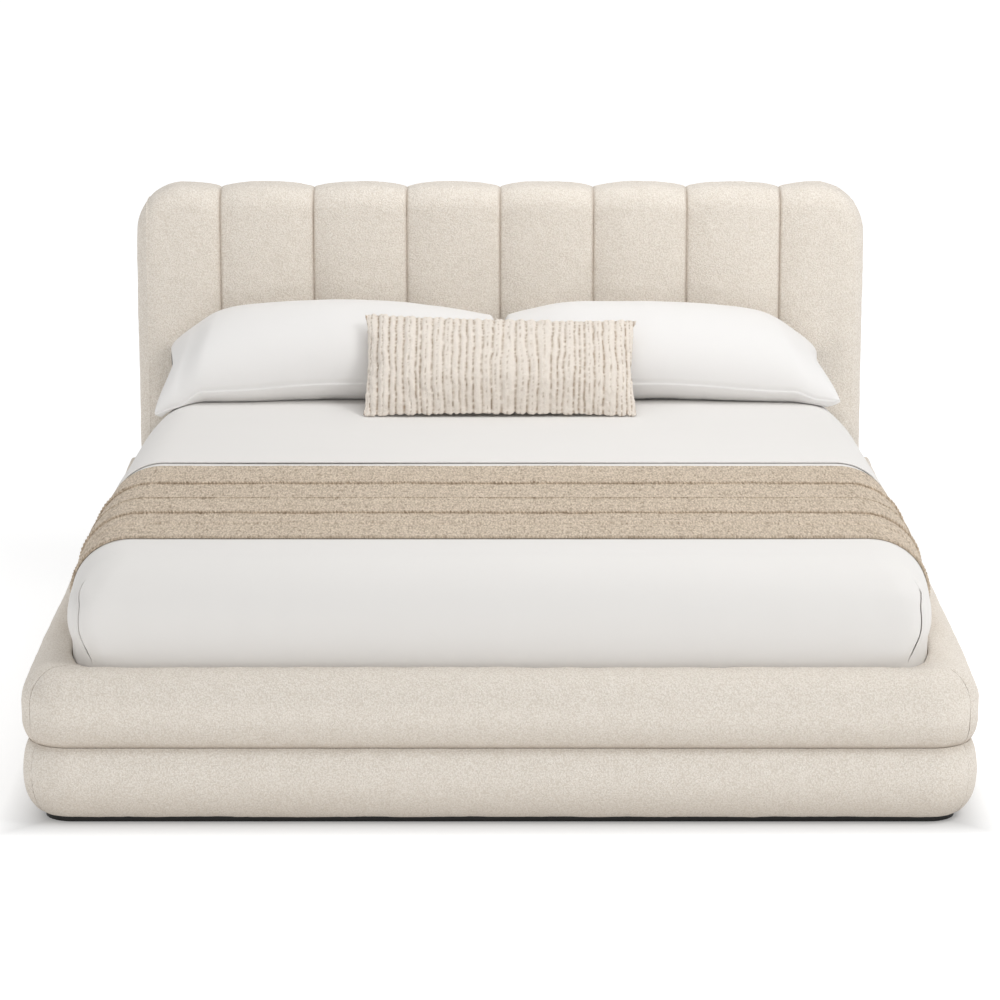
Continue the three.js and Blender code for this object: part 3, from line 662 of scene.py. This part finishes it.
def build_lower_pad():
    """The flat upholstered band below the channels, wrapped round the frame's sides."""
    radius = 0.014
    ends = (1 - np.cos(np.linspace(0.1, math.pi / 2, 8))) * radius
    inside = np.arange(-FRAME_HALF + 0.012, FRAME_HALF - 0.011, 0.012)
    left = np.concatenate([-HEAD_HALF + ends, np.linspace(-HEAD_HALF + 0.018, -FRAME_HALF, 3)])
    sides = [(x, PAD_HIGH.y) for x in left]
    middle = [(x, FRAME_FRONT) for x in np.concatenate([[-FRAME_HALF], inside, [FRAME_HALF]])]
    stations = sides + middle + [(-x, back) for x, back in sides[::-1]]
    rings = []
    for x, back in stations:
        inset = rounded_off(HEAD_HALF - abs(x), radius)
        low, high = PAD_LOW.z + inset, PAD_HIGH.z - inset
        skin = rounded_box_outline(PAD_LOW.y + inset, back - inset, low, high, radius)
        rings.append(np.insert(skin, 0, x, axis=1))
    piece = loft(rings, BOUCLE, "headboard_lower_pad", smooth_angle=50)
    roughen(piece, lambda p: (np.abs(p[:, 1] - FRAME_FRONT) < 1e-4) | (p[:, 2] > PAD_HIGH.z - 1e-4))
    finish_piece(piece, "bed_frame", "headboard_lower_pad")


def build_back_cover():
    """Cloth tacked over the frame's back, pulled into shallow scallops between the tacks."""
    half, low, high = COVER_HIGH.x, COVER_LOW.z, COVER_HIGH.z
    cols, rows = 161, 87
    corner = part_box("headboard_panel")[1].x - 0.86
    x, z = np.meshgrid(np.linspace(-half, half, cols), np.linspace(low, high, rows))
    over = np.clip(np.abs(x) - (half - corner), 0, corner)
    x = x.copy()
    z = np.where(z > high - corner, high - corner + (z - high + corner)
                 * np.sqrt(np.clip(1 - (over / corner) ** 2, 0.02, 1)), z)
    from_edge = np.minimum(np.minimum(half - np.abs(x), high - z), z - low)
    along_edge = np.where(half - np.abs(x) < np.minimum(high - z, z - low), z, x)
    tack = np.abs(np.sin(np.pi * along_edge / TACK_SPACING))
    points = np.stack([x, np.zeros_like(x), z], axis=-1).reshape(-1, 3)
    slack = ripples(points, (0.0008, (0.35, 1, 0.25), 21), (0.0005, 0.09, 22))
    scallop = (tack * np.exp(-from_edge / 0.03)).ravel() * 0.0011
    hem = 0.0009 * hill(from_edge, 0.012, 0.0025).ravel()
    points[:, 1] = COVER_HIGH.y - 0.0012 + slack - scallop - hem
    piece = make_object("headboard_back_cover", points, grid_quads(rows, cols), BACK_CLOTH)
    thicken(piece, 0.0012)
    finish_piece(piece, "bed_frame", "headboard_back_cover")


def thicken(piece, thickness, offset=-1.0):
    shell = piece.modifiers.new("thickness", "SOLIDIFY")
    shell.thickness = thickness
    shell.offset = offset


# ---- Bedding surface ----

EDGE_WIDTH = 0.138  # plan width of the bedding's rounded edge
EDGE_DROP = 0.125
SIDE = COVERLET_HIGH.x
CORE_X = SIDE - EDGE_WIDTH
CORE_FOOT = COVERLET_LOW.y + EDGE_WIDTH
BED_TOP = COVERLET_HIGH.z
FOOT_PINCH = 0.010
CORNER_TUCK = 0.022
HEAD_TAPER = 0.05
HEAD_CURVE = 0.05
SIDE_TUCK = 0.004  # how far the coverlet draws in behind the rolls' lips
LIP_CLEARANCE = 0.0012
LOW_CORNER = 0.52 * EDGE_WIDTH  # plan radius of the coverlet's foot corners where it hangs


def narrowing(y, z):
    """How much narrower the bedding is: pinched at the foot, and its upper edges towards the head."""
    foot = FOOT_PINCH * (1 - smoothstep(y, COVERLET_LOW.y, -0.78))
    head = HEAD_TAPER * np.clip(y + 0.42, 0, None) + HEAD_CURVE * smoothstep(y, 0.5, 1.05)
    tuck = CORNER_TUCK * (1 - smoothstep(y, COVERLET_LOW.y, -0.88)) * smoothstep(-z, -0.44, -0.352)
    return foot + tuck + head * smoothstep(z, 0.37, 0.52)


def dressed(points):
    """Draws the bedding's lower edge in behind the rolls and narrows it towards the foot."""
    points = points.copy()
    tuck = SIDE_TUCK * smoothstep(-points[..., 2], -0.43, -0.352)
    points[..., 0] -= np.sign(points[..., 0]) * tuck * smoothstep(np.abs(points[..., 0]), 0.85, 0.96)
    points[..., 1] += tuck * smoothstep(-points[..., 1], 0.93, 1.02)
    narrower = narrowing(points[..., 1], points[..., 2]) / SIDE
    points[..., 0] *= 1 - narrower * np.clip(np.abs(points[..., 0]) / SIDE, 0, 1) ** 2
    return points


def cross_profile():
    """The coverlet's cross-section from the middle outwards: distance run, x, z and normal."""
    edge = arc(CORE_X, BED_TOP - EDGE_DROP, EDGE_WIDTH, EDGE_DROP, 90, 0, 200)
    line = np.concatenate([[[0, BED_TOP]], edge, [[SIDE, COVERLET_LOW.z]]])
    line = resample(line, 0.001)
    along = np.gradient(line, axis=0)
    along /= np.linalg.norm(along, axis=1)[:, None]
    return run_along(line), line, columns(-along[:, 1], along[:, 0])


PROFILE = cross_profile()


def run_to(height):
    """Distance along the cross-section from the middle down to a height on the side."""
    run, line, _ = PROFILE
    return float(np.interp(-height, -line[:, 1], run))


def on_bed(s, y, lift):
    """Points at the distance s across the bed, the station y, lifted off the coverlet."""
    run, line, normal = PROFILE
    side = np.sign(s)
    at = np.abs(s)
    x, z = (np.interp(at, run, line[:, k]) for k in range(2))
    nx, nz = (np.interp(at, run, normal[:, k]) for k in range(2))
    x = x - narrowing(y, z) * (x / SIDE) ** 3
    return np.stack(np.broadcast_arrays(side * (x + nx * lift), y, z + nz * lift), axis=-1)


def strap(name, low, high, hem, thickness, gap, step_y, step_s, relief, material):
    """A cloth laid across the bed and hanging down both sides, with rounded edges."""
    reach = run_to(hem)
    half = thickness / 2
    near, far = low + half, high - half
    along = np.linspace(near, far, round((high - low) / step_y))
    y, up = np.concatenate([
        columns(along, half), arc(far, 0, half, half, 60, -50, 4),
        columns(np.linspace(far, near, 16), -half), arc(near, 0, half, half, 230, 120, 4),
    ]).T
    rings = []
    for s in np.linspace(-reach, reach, round(2 * reach / step_s)):
        lift = gap + half + up
        lift[:len(along)] += relief(s, along)
        rings.append(on_bed(s, y, lift))
    return loft(rings, material, name, smooth_angle=70), reach


# ---- Coverlet ----

FOLD_ANGLE = math.radians(31)  # where the folded foot panel ends, from the foot's normal
FOLD_TOP_ANGLE = math.radians(58)  # the same at the top of the fold
PANEL_PROUD = 0.0045
CLEFT = np.array([  # slot beside the fold, from the panel's edge: outwards, then in towards the head
    [0.0006, 0.0003], [0.0013, 0.0012], [0.0017, 0.0040], [0.0018, 0.0120],
    [0.0040, 0.0120], [0.0043, 0.0050], [0.0050, 0.0024],
])


def coverlet_rows():
    """Rows from the flat top outwards and down: how far out, and how far below the top."""
    edge = arc(0, -EDGE_DROP, EDGE_WIDTH, EDGE_DROP, 90, 0, 16)[1:]
    side = np.linspace(-EDGE_DROP, COVERLET_LOW.z - BED_TOP, 17)[1:]
    return np.concatenate([edge, columns(EDGE_WIDTH, side)]) * [1, -1]


def fold_share(drop):
    """How far the corner fold has opened at a depth below the top; it closes again at the rolls."""
    return smoothstep(drop, 0.040, 0.075) * (1 - smoothstep(drop, 0.196, 0.2245))


def corner_columns(out, drop):
    """One row of the right foot corner: the foot panel, the slot beside its fold, then the side."""
    radius = out * (1 - (1 - LOW_CORNER / EDGE_WIDTH) * smoothstep(out, 0.02, EDGE_WIDTH))
    centre = np.array([CORE_X + out - radius, CORE_FOOT - out + radius])
    folded = fold_share(drop)
    proud = PANEL_PROUD * folded
    fold = FOLD_ANGLE + (FOLD_TOP_ANGLE - FOLD_ANGLE) * (1 - smoothstep(drop, 0.035, 0.10))

    def place(angle, lift):
        return centre + facing(angle) * columns(radius + lift)

    panel = place(np.linspace(0, fold, 9), proud)
    slot = panel[-1] + CLEFT * folded
    across = slot[-1, 0] + 0.0012 * folded - centre[0]
    start = max(fold, math.asin(min(across / radius, 0.97)))
    beyond = np.linspace(start, math.pi / 2, 15)[0 if folded > 0 else 1:]
    run = (beyond - start) * radius
    lift = -0.0016 * np.exp(-run / 0.006) + 0.0014 * hill(run, 0.011, 0.003)
    side = place(beyond, lift * folded)
    if folded <= 0:
        slot = np.concatenate([slot, place(fold, 0.0)])
    return np.concatenate([panel, slot, side])


def build_coverlet():
    head = COVERLET_HIGH.y
    ys = np.linspace(head, CORE_FOOT, 150)
    xs = np.linspace(-CORE_X, CORE_X, 136)
    stretch = (ys - CORE_FOOT) / (head - CORE_FOOT)
    flat_corner = np.tile([CORE_X, CORE_FOOT], (len(corner_columns(0.01, 0.001)), 1))
    core = np.concatenate([
        columns(-CORE_X, ys),
        flat_corner * [-1, 1],
        columns(xs, CORE_FOOT),
        flat_corner,
        columns(CORE_X, ys[::-1]),
    ])
    loops = [np.insert(core, 2, BED_TOP, axis=1)]
    for out, drop in coverlet_rows():
        corner = corner_columns(out, drop)
        side_y = corner[-1, 1] + stretch * (head - corner[-1, 1])
        foot_x = xs / CORE_X * corner[0, 0]
        from_corner = np.abs(corner[0, 0] - np.abs(foot_x))
        swell = PANEL_PROUD * fold_share(drop) * np.exp(-(from_corner / 0.07) ** 1.5)
        row = np.concatenate([
            columns(-CORE_X - out, side_y),
            (corner * [-1, 1])[::-1],
            columns(foot_x, CORE_FOOT - out - swell),
            corner,
            columns(CORE_X + out, side_y[::-1]),
        ])
        loops.append(np.insert(row, 2, BED_TOP - drop, axis=1))
    band = np.array(loops)
    rows, cols = band.shape[:2]
    points = band.reshape(-1, 3)
    grid_x, grid_y = np.meshgrid(xs, ys)
    top = columns(grid_x.ravel(), grid_y.ravel(), BED_TOP)
    faces = np.concatenate([grid_quads(rows, cols), grid_quads(len(ys), len(xs)) + len(points)])
    points = np.concatenate([points, top])

    piece = make_object("coverlet", dressed(points), faces, PERCALE, smooth_angle=60)
    points, normal = coordinates(piece), normals(piece)
    if normal[np.argmax(points[:, 2])][2] < 0:
        piece.data.flip_normals()
        normal = -normal
    drop = BED_TOP - points[:, 2]
    over = smoothstep(drop, 0.03, 0.12)
    hanging = over * (1 - smoothstep(drop, 0.17, 0.215))
    soft = ripples(points, (0.0016, (0.24, 0.24, 0.6), 31), (0.0012, (0.05, 0.07, 0.5), 33)) * hanging
    soft += 0.0009 * noise(points, (0.5, 0.16, 0.2), 32) * (1 - over)
    for side in (-1, 1):
        dent = np.array([side * 0.912, COVERLET_LOW.y + 0.03, BED_TOP - 0.040])
        soft -= 0.0030 * np.exp(-(((points - dent) / [0.020, 0.03, 0.014]) ** 2).sum(axis=1))
    move_points(piece, points + normal * soft[:, None])
    thicken(piece, 0.0016)
    finish_piece(piece, "mattress", "coverlet")


def build_cuff():
    """The top sheet's turned-down end, with the fold as its near edge."""
    def relief(s, y):
        from_edge = y - CUFF_LOW.y
        soft = ripples(columns(s, y, 0.0), (0.0012, (0.45, 0.2, 1), 41), (0.0006, (0.12, 0.3, 1), 42))
        return soft * smoothstep(from_edge, 0.0, 0.05) - 0.0007 * hill(from_edge, 0.045, 0.002)

    piece, reach = strap("sheet_cuff", CUFF_LOW.y, CUFF_HIGH.y, CUFF_LOW.z, thickness=0.0042, gap=0.0022,
                         step_y=0.014, step_s=0.014, relief=relief, material=PERCALE)
    finish_piece(piece, "mattress", "sheet_cuff")


# ---- Runner ----

RIDGES = ((-0.248, 0.0042, 1.0), (-0.549, 0.0042, 1.0), (-0.398, 0.0018, 0.4))  # y, radius, strength
RUNNER_EDGE = RUNNER_LOW.y + 0.004  # where the cord along its foot edge lies
RUNNER_GAP = 0.0010
RUNNER_THICK = 0.0050


def cord_over_bed(y, radius, reach, seed, lift):
    """A two-ply twisted cord lying across the runner."""
    across = np.arange(-reach, reach, 0.0021)
    turn = np.linspace(0, 2 * math.pi, 10, endpoint=False)
    at = columns(across, y, 0.0)
    twist = 2 * math.pi * across / (4.2 * radius) + 0.9 * noise(at, 0.03, seed)
    sway = 0.0011 * noise(at, 0.045, seed + 1)
    plump = 1 + 0.12 * noise(at, 0.018, seed + 2)
    rings = []
    for i, s in enumerate(across):
        size = radius * plump[i] * (1 + 0.34 * np.cos(2 * (turn - twist[i])))
        rings.append(on_bed(s, y + sway[i] + size * np.cos(turn), lift + size * np.sin(turn)))
    return np.array(rings)


def build_runner():
    def relief(s, y):
        lift = ripples(columns(s, y, 0.0), (0.0006, (0.011, 0.014, 1), 51), (0.0008, (0.09, 0.03, 1), 52))
        for place, _, strength in RIDGES:
            lift += strength * (0.0010 * hill(y, place, 0.014) - 0.0022 * hill(y, place - 0.009, 0.005))
        return lift - 0.0020 * hill(y, -0.657, 0.010) + 0.0014 * hill(y, -0.635, 0.014)

    piece, reach = strap("throw_runner", RUNNER_LOW.y, RUNNER_HIGH.y, RUNNER_LOW.z, thickness=RUNNER_THICK,
                         gap=RUNNER_GAP, step_y=0.0033, step_s=0.0066, relief=relief, material=KNIT)
    cords = [cord_over_bed(y, r, reach - 0.001, 60 + 5 * i, RUNNER_GAP + RUNNER_THICK + 0.35 * r)
             for i, (y, r, _) in enumerate(RIDGES)]
    cords.append(cord_over_bed(RUNNER_EDGE, 0.0034, reach - 0.001, 90, RUNNER_GAP + RUNNER_THICK * 0.7))
    faces = []
    for i, rings in enumerate(cords):
        start = sum(cord[..., 0].size for cord in cords[:i])
        faces += [[start + k for k in face] for face in skin_faces(*rings.shape[:2])]
    points = np.concatenate([rings.reshape(-1, 3) for rings in cords])
    ridges = make_object("throw_runner_ridges", points, faces, KNIT)
    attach(ridges, "throw_runner")
    finish_piece(piece, "throw_runner", "throw_runner")


# ---- Cushions ----

LEAN = math.radians(40)  # the cushion's, from upright
CUSHION_FOOT = np.array([0.0, 0.500, 0.5885])
CUSHION_HALF = 0.3575
CUSHION_HEIGHT = 0.290
REST_TOP = 0.5845  # what the pillows lie on, in the middle of the bed
PRESSURE = 3.0
SIMULATED = 16  # frames of cloth simulation


def two_sided(name, top, bottom, material, smooth_angle=None):
    """A closed skin from two grids that share their border, and where the bottom's points are."""
    rows, cols = top.shape[:2]
    index = np.arange(rows * cols).reshape(rows, cols)
    below = index.copy()
    inside = (rows - 2) * (cols - 2)
    below[1:-1, 1:-1] = rows * cols + np.arange(inside).reshape(rows - 2, cols - 2)
    faces = grid_quads(rows, cols)
    under = below.ravel()[faces][:, ::-1]
    points = np.concatenate([top.reshape(-1, 3), bottom[1:-1, 1:-1].reshape(-1, 3)])
    return make_object(name, points, np.concatenate([faces, under]), material, smooth_angle), below


def both_grids(piece, below):
    points = coordinates(piece)
    return points[:below.size].reshape(*below.shape, 3), points[below]


def finer(grid, rows, cols):
    """A grid of points or moves resampled to more rows and columns."""
    for count in (rows, cols):
        at = np.linspace(0, len(grid) - 1, count)
        before = np.minimum(at.astype(int), len(grid) - 2)
        part = (at - before)[:, None, None]
        grid = (grid[before] * (1 - part) + grid[before + 1] * part).swapaxes(0, 1)
    return grid


def lean(local):
    """From the cushion's own axes (across, out of its back, up) to the bed's."""
    x, y, z = local.T
    sin, cos = math.sin(LEAN), math.cos(LEAN)
    return columns(x, y * cos + z * sin, z * cos - y * sin) + CUSHION_FOOT


def rib_lines():
    rng = np.random.default_rng(7)
    widths = rng.uniform(0.012, 0.036, 60)
    lines = -CUSHION_HALF - 0.024 + np.cumsum(widths)
    return lines[lines < CUSHION_HALF + 0.045]


def cushion_sheets(rows, cols):
    """Front and back of the lumbar cushion on its own axes, sides pulled in between the corners."""
    v, u = np.meshgrid(*(np.sin(np.linspace(-1, 1, count) * crowding) / math.sin(crowding)
                         for count, crowding in ((rows, 1.44), (cols, 1.35))), indexing="ij")
    x = u * (CUSHION_HALF - 0.015 * (1 - v ** 2) * np.abs(u) ** 3)
    z = CUSHION_HEIGHT * (0.5 + 0.5 * v * (1 - 0.05 * (1 - u ** 2)))
    z += (0.5 + 0.5 * v) * (-0.010 * u)
    full = (1 - np.abs(u) ** 2.2) ** 0.5 * (1 - np.abs(v) ** 2.2) ** 0.55
    return np.stack([x, -0.046 * full, z], axis=-1), np.stack([x, 0.022 * full, z], axis=-1)


def build_lumbar():
    rough_front, rough_back = cushion_sheets(44, 98)
    piece, below = two_sided("cushion_start", rough_front, rough_back, RIBBED)
    puff([(piece, below)], 0.012)
    blown = both_grids(piece, below)
    bpy.data.objects.remove(piece)
    fine = 124, 290
    front, back = (sheet + finer(moved - start, *fine)
                   for sheet, moved, start in zip(cushion_sheets(*fine), blown, (rough_front, rough_back)))
    piece, _ = two_sided("lumbar_cushion", front, back, RIBBED)
    points, normal = coordinates(piece), normals(piece)
    at = points[:, 0] + ripples(points, (0.0055, (0.075, 5, 0.10), 71), (0.0018, (0.02, 5, 0.022), 72))
    lines = rib_lines()
    index = np.clip(np.searchsorted(lines, at), 1, len(lines) - 1)
    left, right = lines[index - 1], lines[index]
    width = right - left
    t = np.clip((at - left) / width, 0, 1)
    rib = (1 - np.abs(2 * t - 1) ** 2.4) * np.clip(width / 0.024, 0.6, 1.15)
    crease = np.minimum(t, 1 - t) * width
    split = np.where(width > 0.023, np.abs(t - 0.47) * width, 1)
    tufts = noise(points, (0.006, 0.006, 0.008), 73)
    bits = noise(points, (0.010, 0.010, 0.0045), 74)
    lift = 0.0058 * rib + 0.0013 * tufts + 0.0005 * noise(points, 0.0030, 75) - 0.002
    lift -= 0.0022 * hill(split, 0, 0.0020)
    move_points(piece, lean(points + normal * lift[:, None]))
    # Painted shade: dark in the creases between ribs and along the split in wide ribs, broken up by noise.
    painted_groove_shade = hill(crease, 0, 0.0024) * np.clip(0.66 + 0.75 * bits, 0.1, 1)
    painted_groove_shade += 0.8 * hill(split, 0, 0.0017) * np.clip(0.25 + 1.2 * bits, 0, 1)
    shade_points(piece, "painted_groove_shade", painted_groove_shade)
    finish_piece(piece, "lumbar_cushion", "lumbar_cushion")


def rest_height(x, y):
    """Height of the bedding that the pillows lie on, which falls away towards the sides."""
    _, line, _ = PROFILE
    across = x + narrowing(y, BED_TOP) * (x / SIDE) ** 3
    return REST_TOP - BED_TOP + np.interp(across, line[:, 0], line[:, 1])


def pillow_sheets(side, rise, low_tip, high_tip, corner, fullness, crown):
    """Top and bottom grids of a pillow that leans behind the cushion, its outer corners drooping."""
    reach_in, front, back = 0.004, 0.640, 1.002
    v, s = np.meshgrid(*((1 - np.cos(np.linspace(0, math.pi, count))) / 2 for count in (66, 116)),
                       indexing="ij")
    inner = 0.68 + 0.32 * np.sin(np.minimum(1, s / rise) * math.pi / 2)
    inner = inner * np.sqrt(1 - (1 - np.minimum(1, s / 0.025)) ** 2)
    outer = (1 - (np.clip(s - 0.42, 0, None) / 0.58) ** fullness[0]) ** fullness[1]
    full = np.minimum(inner, outer)
    end = low_tip[0] + (high_tip[0] - low_tip[0]) * v - 0.022 * np.sin(math.pi * v) ** 1.3
    x = reach_in + (end - reach_in) * s
    y = front + (back - front) * v + 0.008 * np.sin(math.pi * s) * (1 - 2 * v)
    front_z, back_z = 0.642, 0.692  # heights of the long seams, which change on the way out
    for height, start, stop in ((0.622, 0.45, 0.86), (corner, 0.86, 0.94), (low_tip[1], 0.94, 1)):
        front_z = front_z + (height - front_z) * smoothstep(s, start, stop)
    back_z = back_z + (high_tip[1] - back_z) * smoothstep(s, 0.80, 1.0)
    chord = front_z + (back_z - front_z) * v
    belly = 4 * v * (1 - v)
    top = np.maximum(rest_height(x, y), chord + crown * belly ** 0.45 * full)
    low = np.maximum(rest_height(x, y), chord - 0.090 * belly ** 0.66 * full ** 0.5)
    behind = CUSHION_FOOT[1] + 0.026 / math.cos(LEAN)
    sheets = []
    for z in (top, low):
        dented = behind + (z - REST_TOP) * math.tan(LEAN)
        share = 1 - smoothstep(x, CUSHION_HALF + 0.005, CUSHION_HALF + 0.060)
        pushed = y + np.clip(dented - y, 0, None) * share
        sheets.append(np.stack([side * x, pushed, z], axis=-1))
    return sheets


def build_pillows():
    left = pillow_sheets(side=-1, rise=0.44, low_tip=(0.914, 0.562), high_tip=(0.896, 0.663), corner=0.579,
                         fullness=(3.4, 0.36), crown=0.157)
    right = pillow_sheets(side=1, rise=0.27, low_tip=(0.900, 0.595), high_tip=(0.862, 0.656), corner=0.600,
                          fullness=(3.1, 0.43), crown=0.152)
    names = "pillow_left", "pillow_right"
    made = [two_sided(name, *sheets, PILLOW_COTTON) for name, sheets in zip(names, (left, right))]
    puff(made, 0.006)
    for node, (piece, below) in zip(names, made):
        points = coordinates(piece)
        soft = ripples(points, (0.0020, 0.16, 81), (0.0009, (0.05, 0.12, 0.1), 82))
        points += normals(piece) * soft[:, None]
        points[below[0], 1] += 0.0035
        points[:, 2] = np.maximum(points[:, 2], rest_height(np.abs(points[:, 0]), points[:, 1]))
        move_points(piece, points)
        smooth = piece.modifiers.new("smooth", "SUBSURF")
        smooth.levels = smooth.render_levels = 1
        finish_piece(piece, node, node)


def puff(jobs, cap):
    """Blows soft pieces up a little as cloth under pressure, held at the seam, no point further than cap."""
    scene = bpy.context.scene
    for piece, below in jobs:
        seam = piece.vertex_groups.new(name="seam")
        border = np.concatenate([below[0], below[-1], below[:, 0], below[:, -1]])
        seam.add(sorted(set(border.tolist())), 1.0, "REPLACE")
        cloth = piece.modifiers.new("cloth", "CLOTH")
        cloth.settings.use_pressure = True
        cloth.settings.uniform_pressure_force = PRESSURE
        cloth.settings.effector_weights.gravity = 0
        cloth.settings.quality = 4
        cloth.settings.vertex_group_mass = "seam"
        cloth.settings.pin_stiffness = 1.0
        cloth.settings.shrink_min = -0.02
        cloth.point_cache.frame_start = 1
        cloth.point_cache.frame_end = SIMULATED
    for step in range(1, SIMULATED + 1):
        scene.frame_set(step)
    shapes = bpy.context.evaluated_depsgraph_get()
    for piece, _ in jobs:
        start = coordinates(piece)
        move = coordinates(piece.evaluated_get(shapes)) - start
        length = np.linalg.norm(move, axis=1)[:, None]
        move *= np.minimum(1, cap / np.maximum(length, 1e-9))
        piece.modifiers.clear()
        move_points(piece, start + move)
    scene.frame_set(1)


# ---- Mattress ----

def build_mattress():
    """Ticking-covered block under the coverlet: piped edges and a quilted border."""
    skin = 0.004
    low, top = MATTRESS_LOW.z, BED_TOP - skin
    radius = 0.10
    wide, drop = EDGE_WIDTH - skin, EDGE_DROP - skin
    quilt = columns(-0.005 + 0.002 * np.sin(3.14 * np.arange(5)), np.linspace(low + 0.055, low + 0.115, 5))
    side = np.concatenate([
        [[-0.20, low], [-0.10, low], [-0.045, low]],
        arc(-0.030, low + 0.028, 0.026, 0.028, -90, -10, 6),
        arc(-0.0045, low + 0.036, 0.0045, 0.0045, -110, 110, 6),
        [[-0.007, low + 0.045]],
        quilt,
        arc(-wide, top - drop, wide - 0.003, drop, 0, 90, 14),
    ])
    rows = []
    for out, z in side:
        half = SIDE - skin - 0.003 + out
        foot = COVERLET_LOW.y + skin + 0.003 - out
        head = MATTRESS_HIGH.y + min(0.0, out)
        bend = max(radius + out, 0.006)
        right, near, far = half - bend, foot + bend, head - bend
        corners = [arc(x, y, bend, bend, start, start + 90, 7) for x, y, start in (
            (right, near, -90), (right, far, 0), (-right, far, 90), (-right, near, 180))]
        plan = []
        for corner, following in zip(corners, corners[1:] + corners[:1]):
            plan += [corner, np.linspace(corner[-1], following[0], 62)[1:-1]]
        rows.append(np.insert(np.concatenate(plan), 2, z, axis=1))
    piece = loft(dressed(np.array(rows)), TICKING, "mattress", smooth_angle=60)
    finish_piece(piece, "mattress", "mattress")


# ---- Stage, camera and light ----

FLOOR_REACH = 300
SKY = 0.555  # strength of the even light from all round
CAMERA_AWAY, CAMERA_HEIGHT, CAMERA_TILT = 8.55, 2.82, 13.56  # from the foot, over the floor, in degrees


def build_stage():
    ends = [[x * FLOOR_REACH, y * FLOOR_REACH, 0] for x, y in ((-1, -1), (1, -1), (1, 1), (-1, 1))]
    floor = make_object("floor", ends, [[0, 1, 2, 3]], floor_material())


def floor_material():
    """White studio floor that glows (painted light), weakly beside the bed and brighter away from it, so that
    only its contact shadow shows.
    """
    n = Nodes("floor", 0.9)
    n.shader.inputs["Base Color"].default_value = rgb(0.55, 0.55, 0.55)
    n.shader.inputs["Specular IOR Level"].default_value = 0.1
    n.shader.inputs["Emission Color"].default_value = rgb(1, 1, 1)
    parts = n.add("ShaderNodeSeparateXYZ", Vector=n.place).outputs
    beside = n.math("SUBTRACT", n.math("ABSOLUTE", parts["X"]), BASE_HALF - 0.06)
    before = n.math("SUBTRACT", n.math("ABSOLUTE", parts["Y"]), -FOOT_FACE - 0.06)
    away = n.math("MAXIMUM", beside, before)
    # Painted light: the floor's glow, weak at the bed's edge and stronger further away.
    glow = n.math("ADD", n.between(away, 0.18, 0.62, 0.0, 0.115), n.between(away, 0.0, 0.15, 0.3, 2.0))
    n.tree.links.new(glow, n.shader.inputs["Emission Strength"])
    return n.material


def build_camera():
    camera = bpy.data.cameras.new("camera")
    camera.lens = 144
    camera.sensor_width = 36
    camera.clip_end = 100
    holder = place_object("camera", camera)
    holder.location = (0, FOOT_FACE - CAMERA_AWAY, CAMERA_HEIGHT)
    holder.rotation_euler = (math.radians(90 - CAMERA_TILT), 0, 0)
    bpy.context.scene.camera = holder


def area_light(name, place, target, size, watts):
    light = bpy.data.lights.new(name, "AREA")
    light.shape = "DISK"
    light.size = size
    light.energy = watts
    holder = place_object(name, light)
    holder.location = place
    aim = np.array(target, float) - np.array(place, float)
    holder.rotation_euler = (math.atan2(math.hypot(aim[0], aim[1]), -aim[2]), 0, math.atan2(-aim[0], aim[1]))


def build_light():
    world = bpy.data.worlds.new("studio")
    world.use_nodes = True
    sky = world.node_tree.nodes["Background"].inputs
    sky["Color"].default_value = rgb(1, 1, 1)
    sky["Strength"].default_value = SKY
    bpy.context.scene.world = world
    area_light("key", (3.0, -2.5, 3.9), (0, 0, 0.5), size=1.8, watts=65)
    area_light("top", (0.4, 0.2, 3.6), (0, 0, 0.4), size=2.2, watts=33)
    area_light("fill", (-2.6, -3.4, 1.6), (-0.4, -0.8, 0.3), size=2.0, watts=4.0)
    bpy.context.scene.view_settings.view_transform = "Standard"


# ---- The bed ----

build_camera()
build_stage()
build_light()
dress_frame()
build_rolls()
build_headboard()
build_lower_pad()
build_back_cover()
build_mattress()
build_coverlet()
build_cuff()
build_runner()
build_pillows()
build_lumbar()
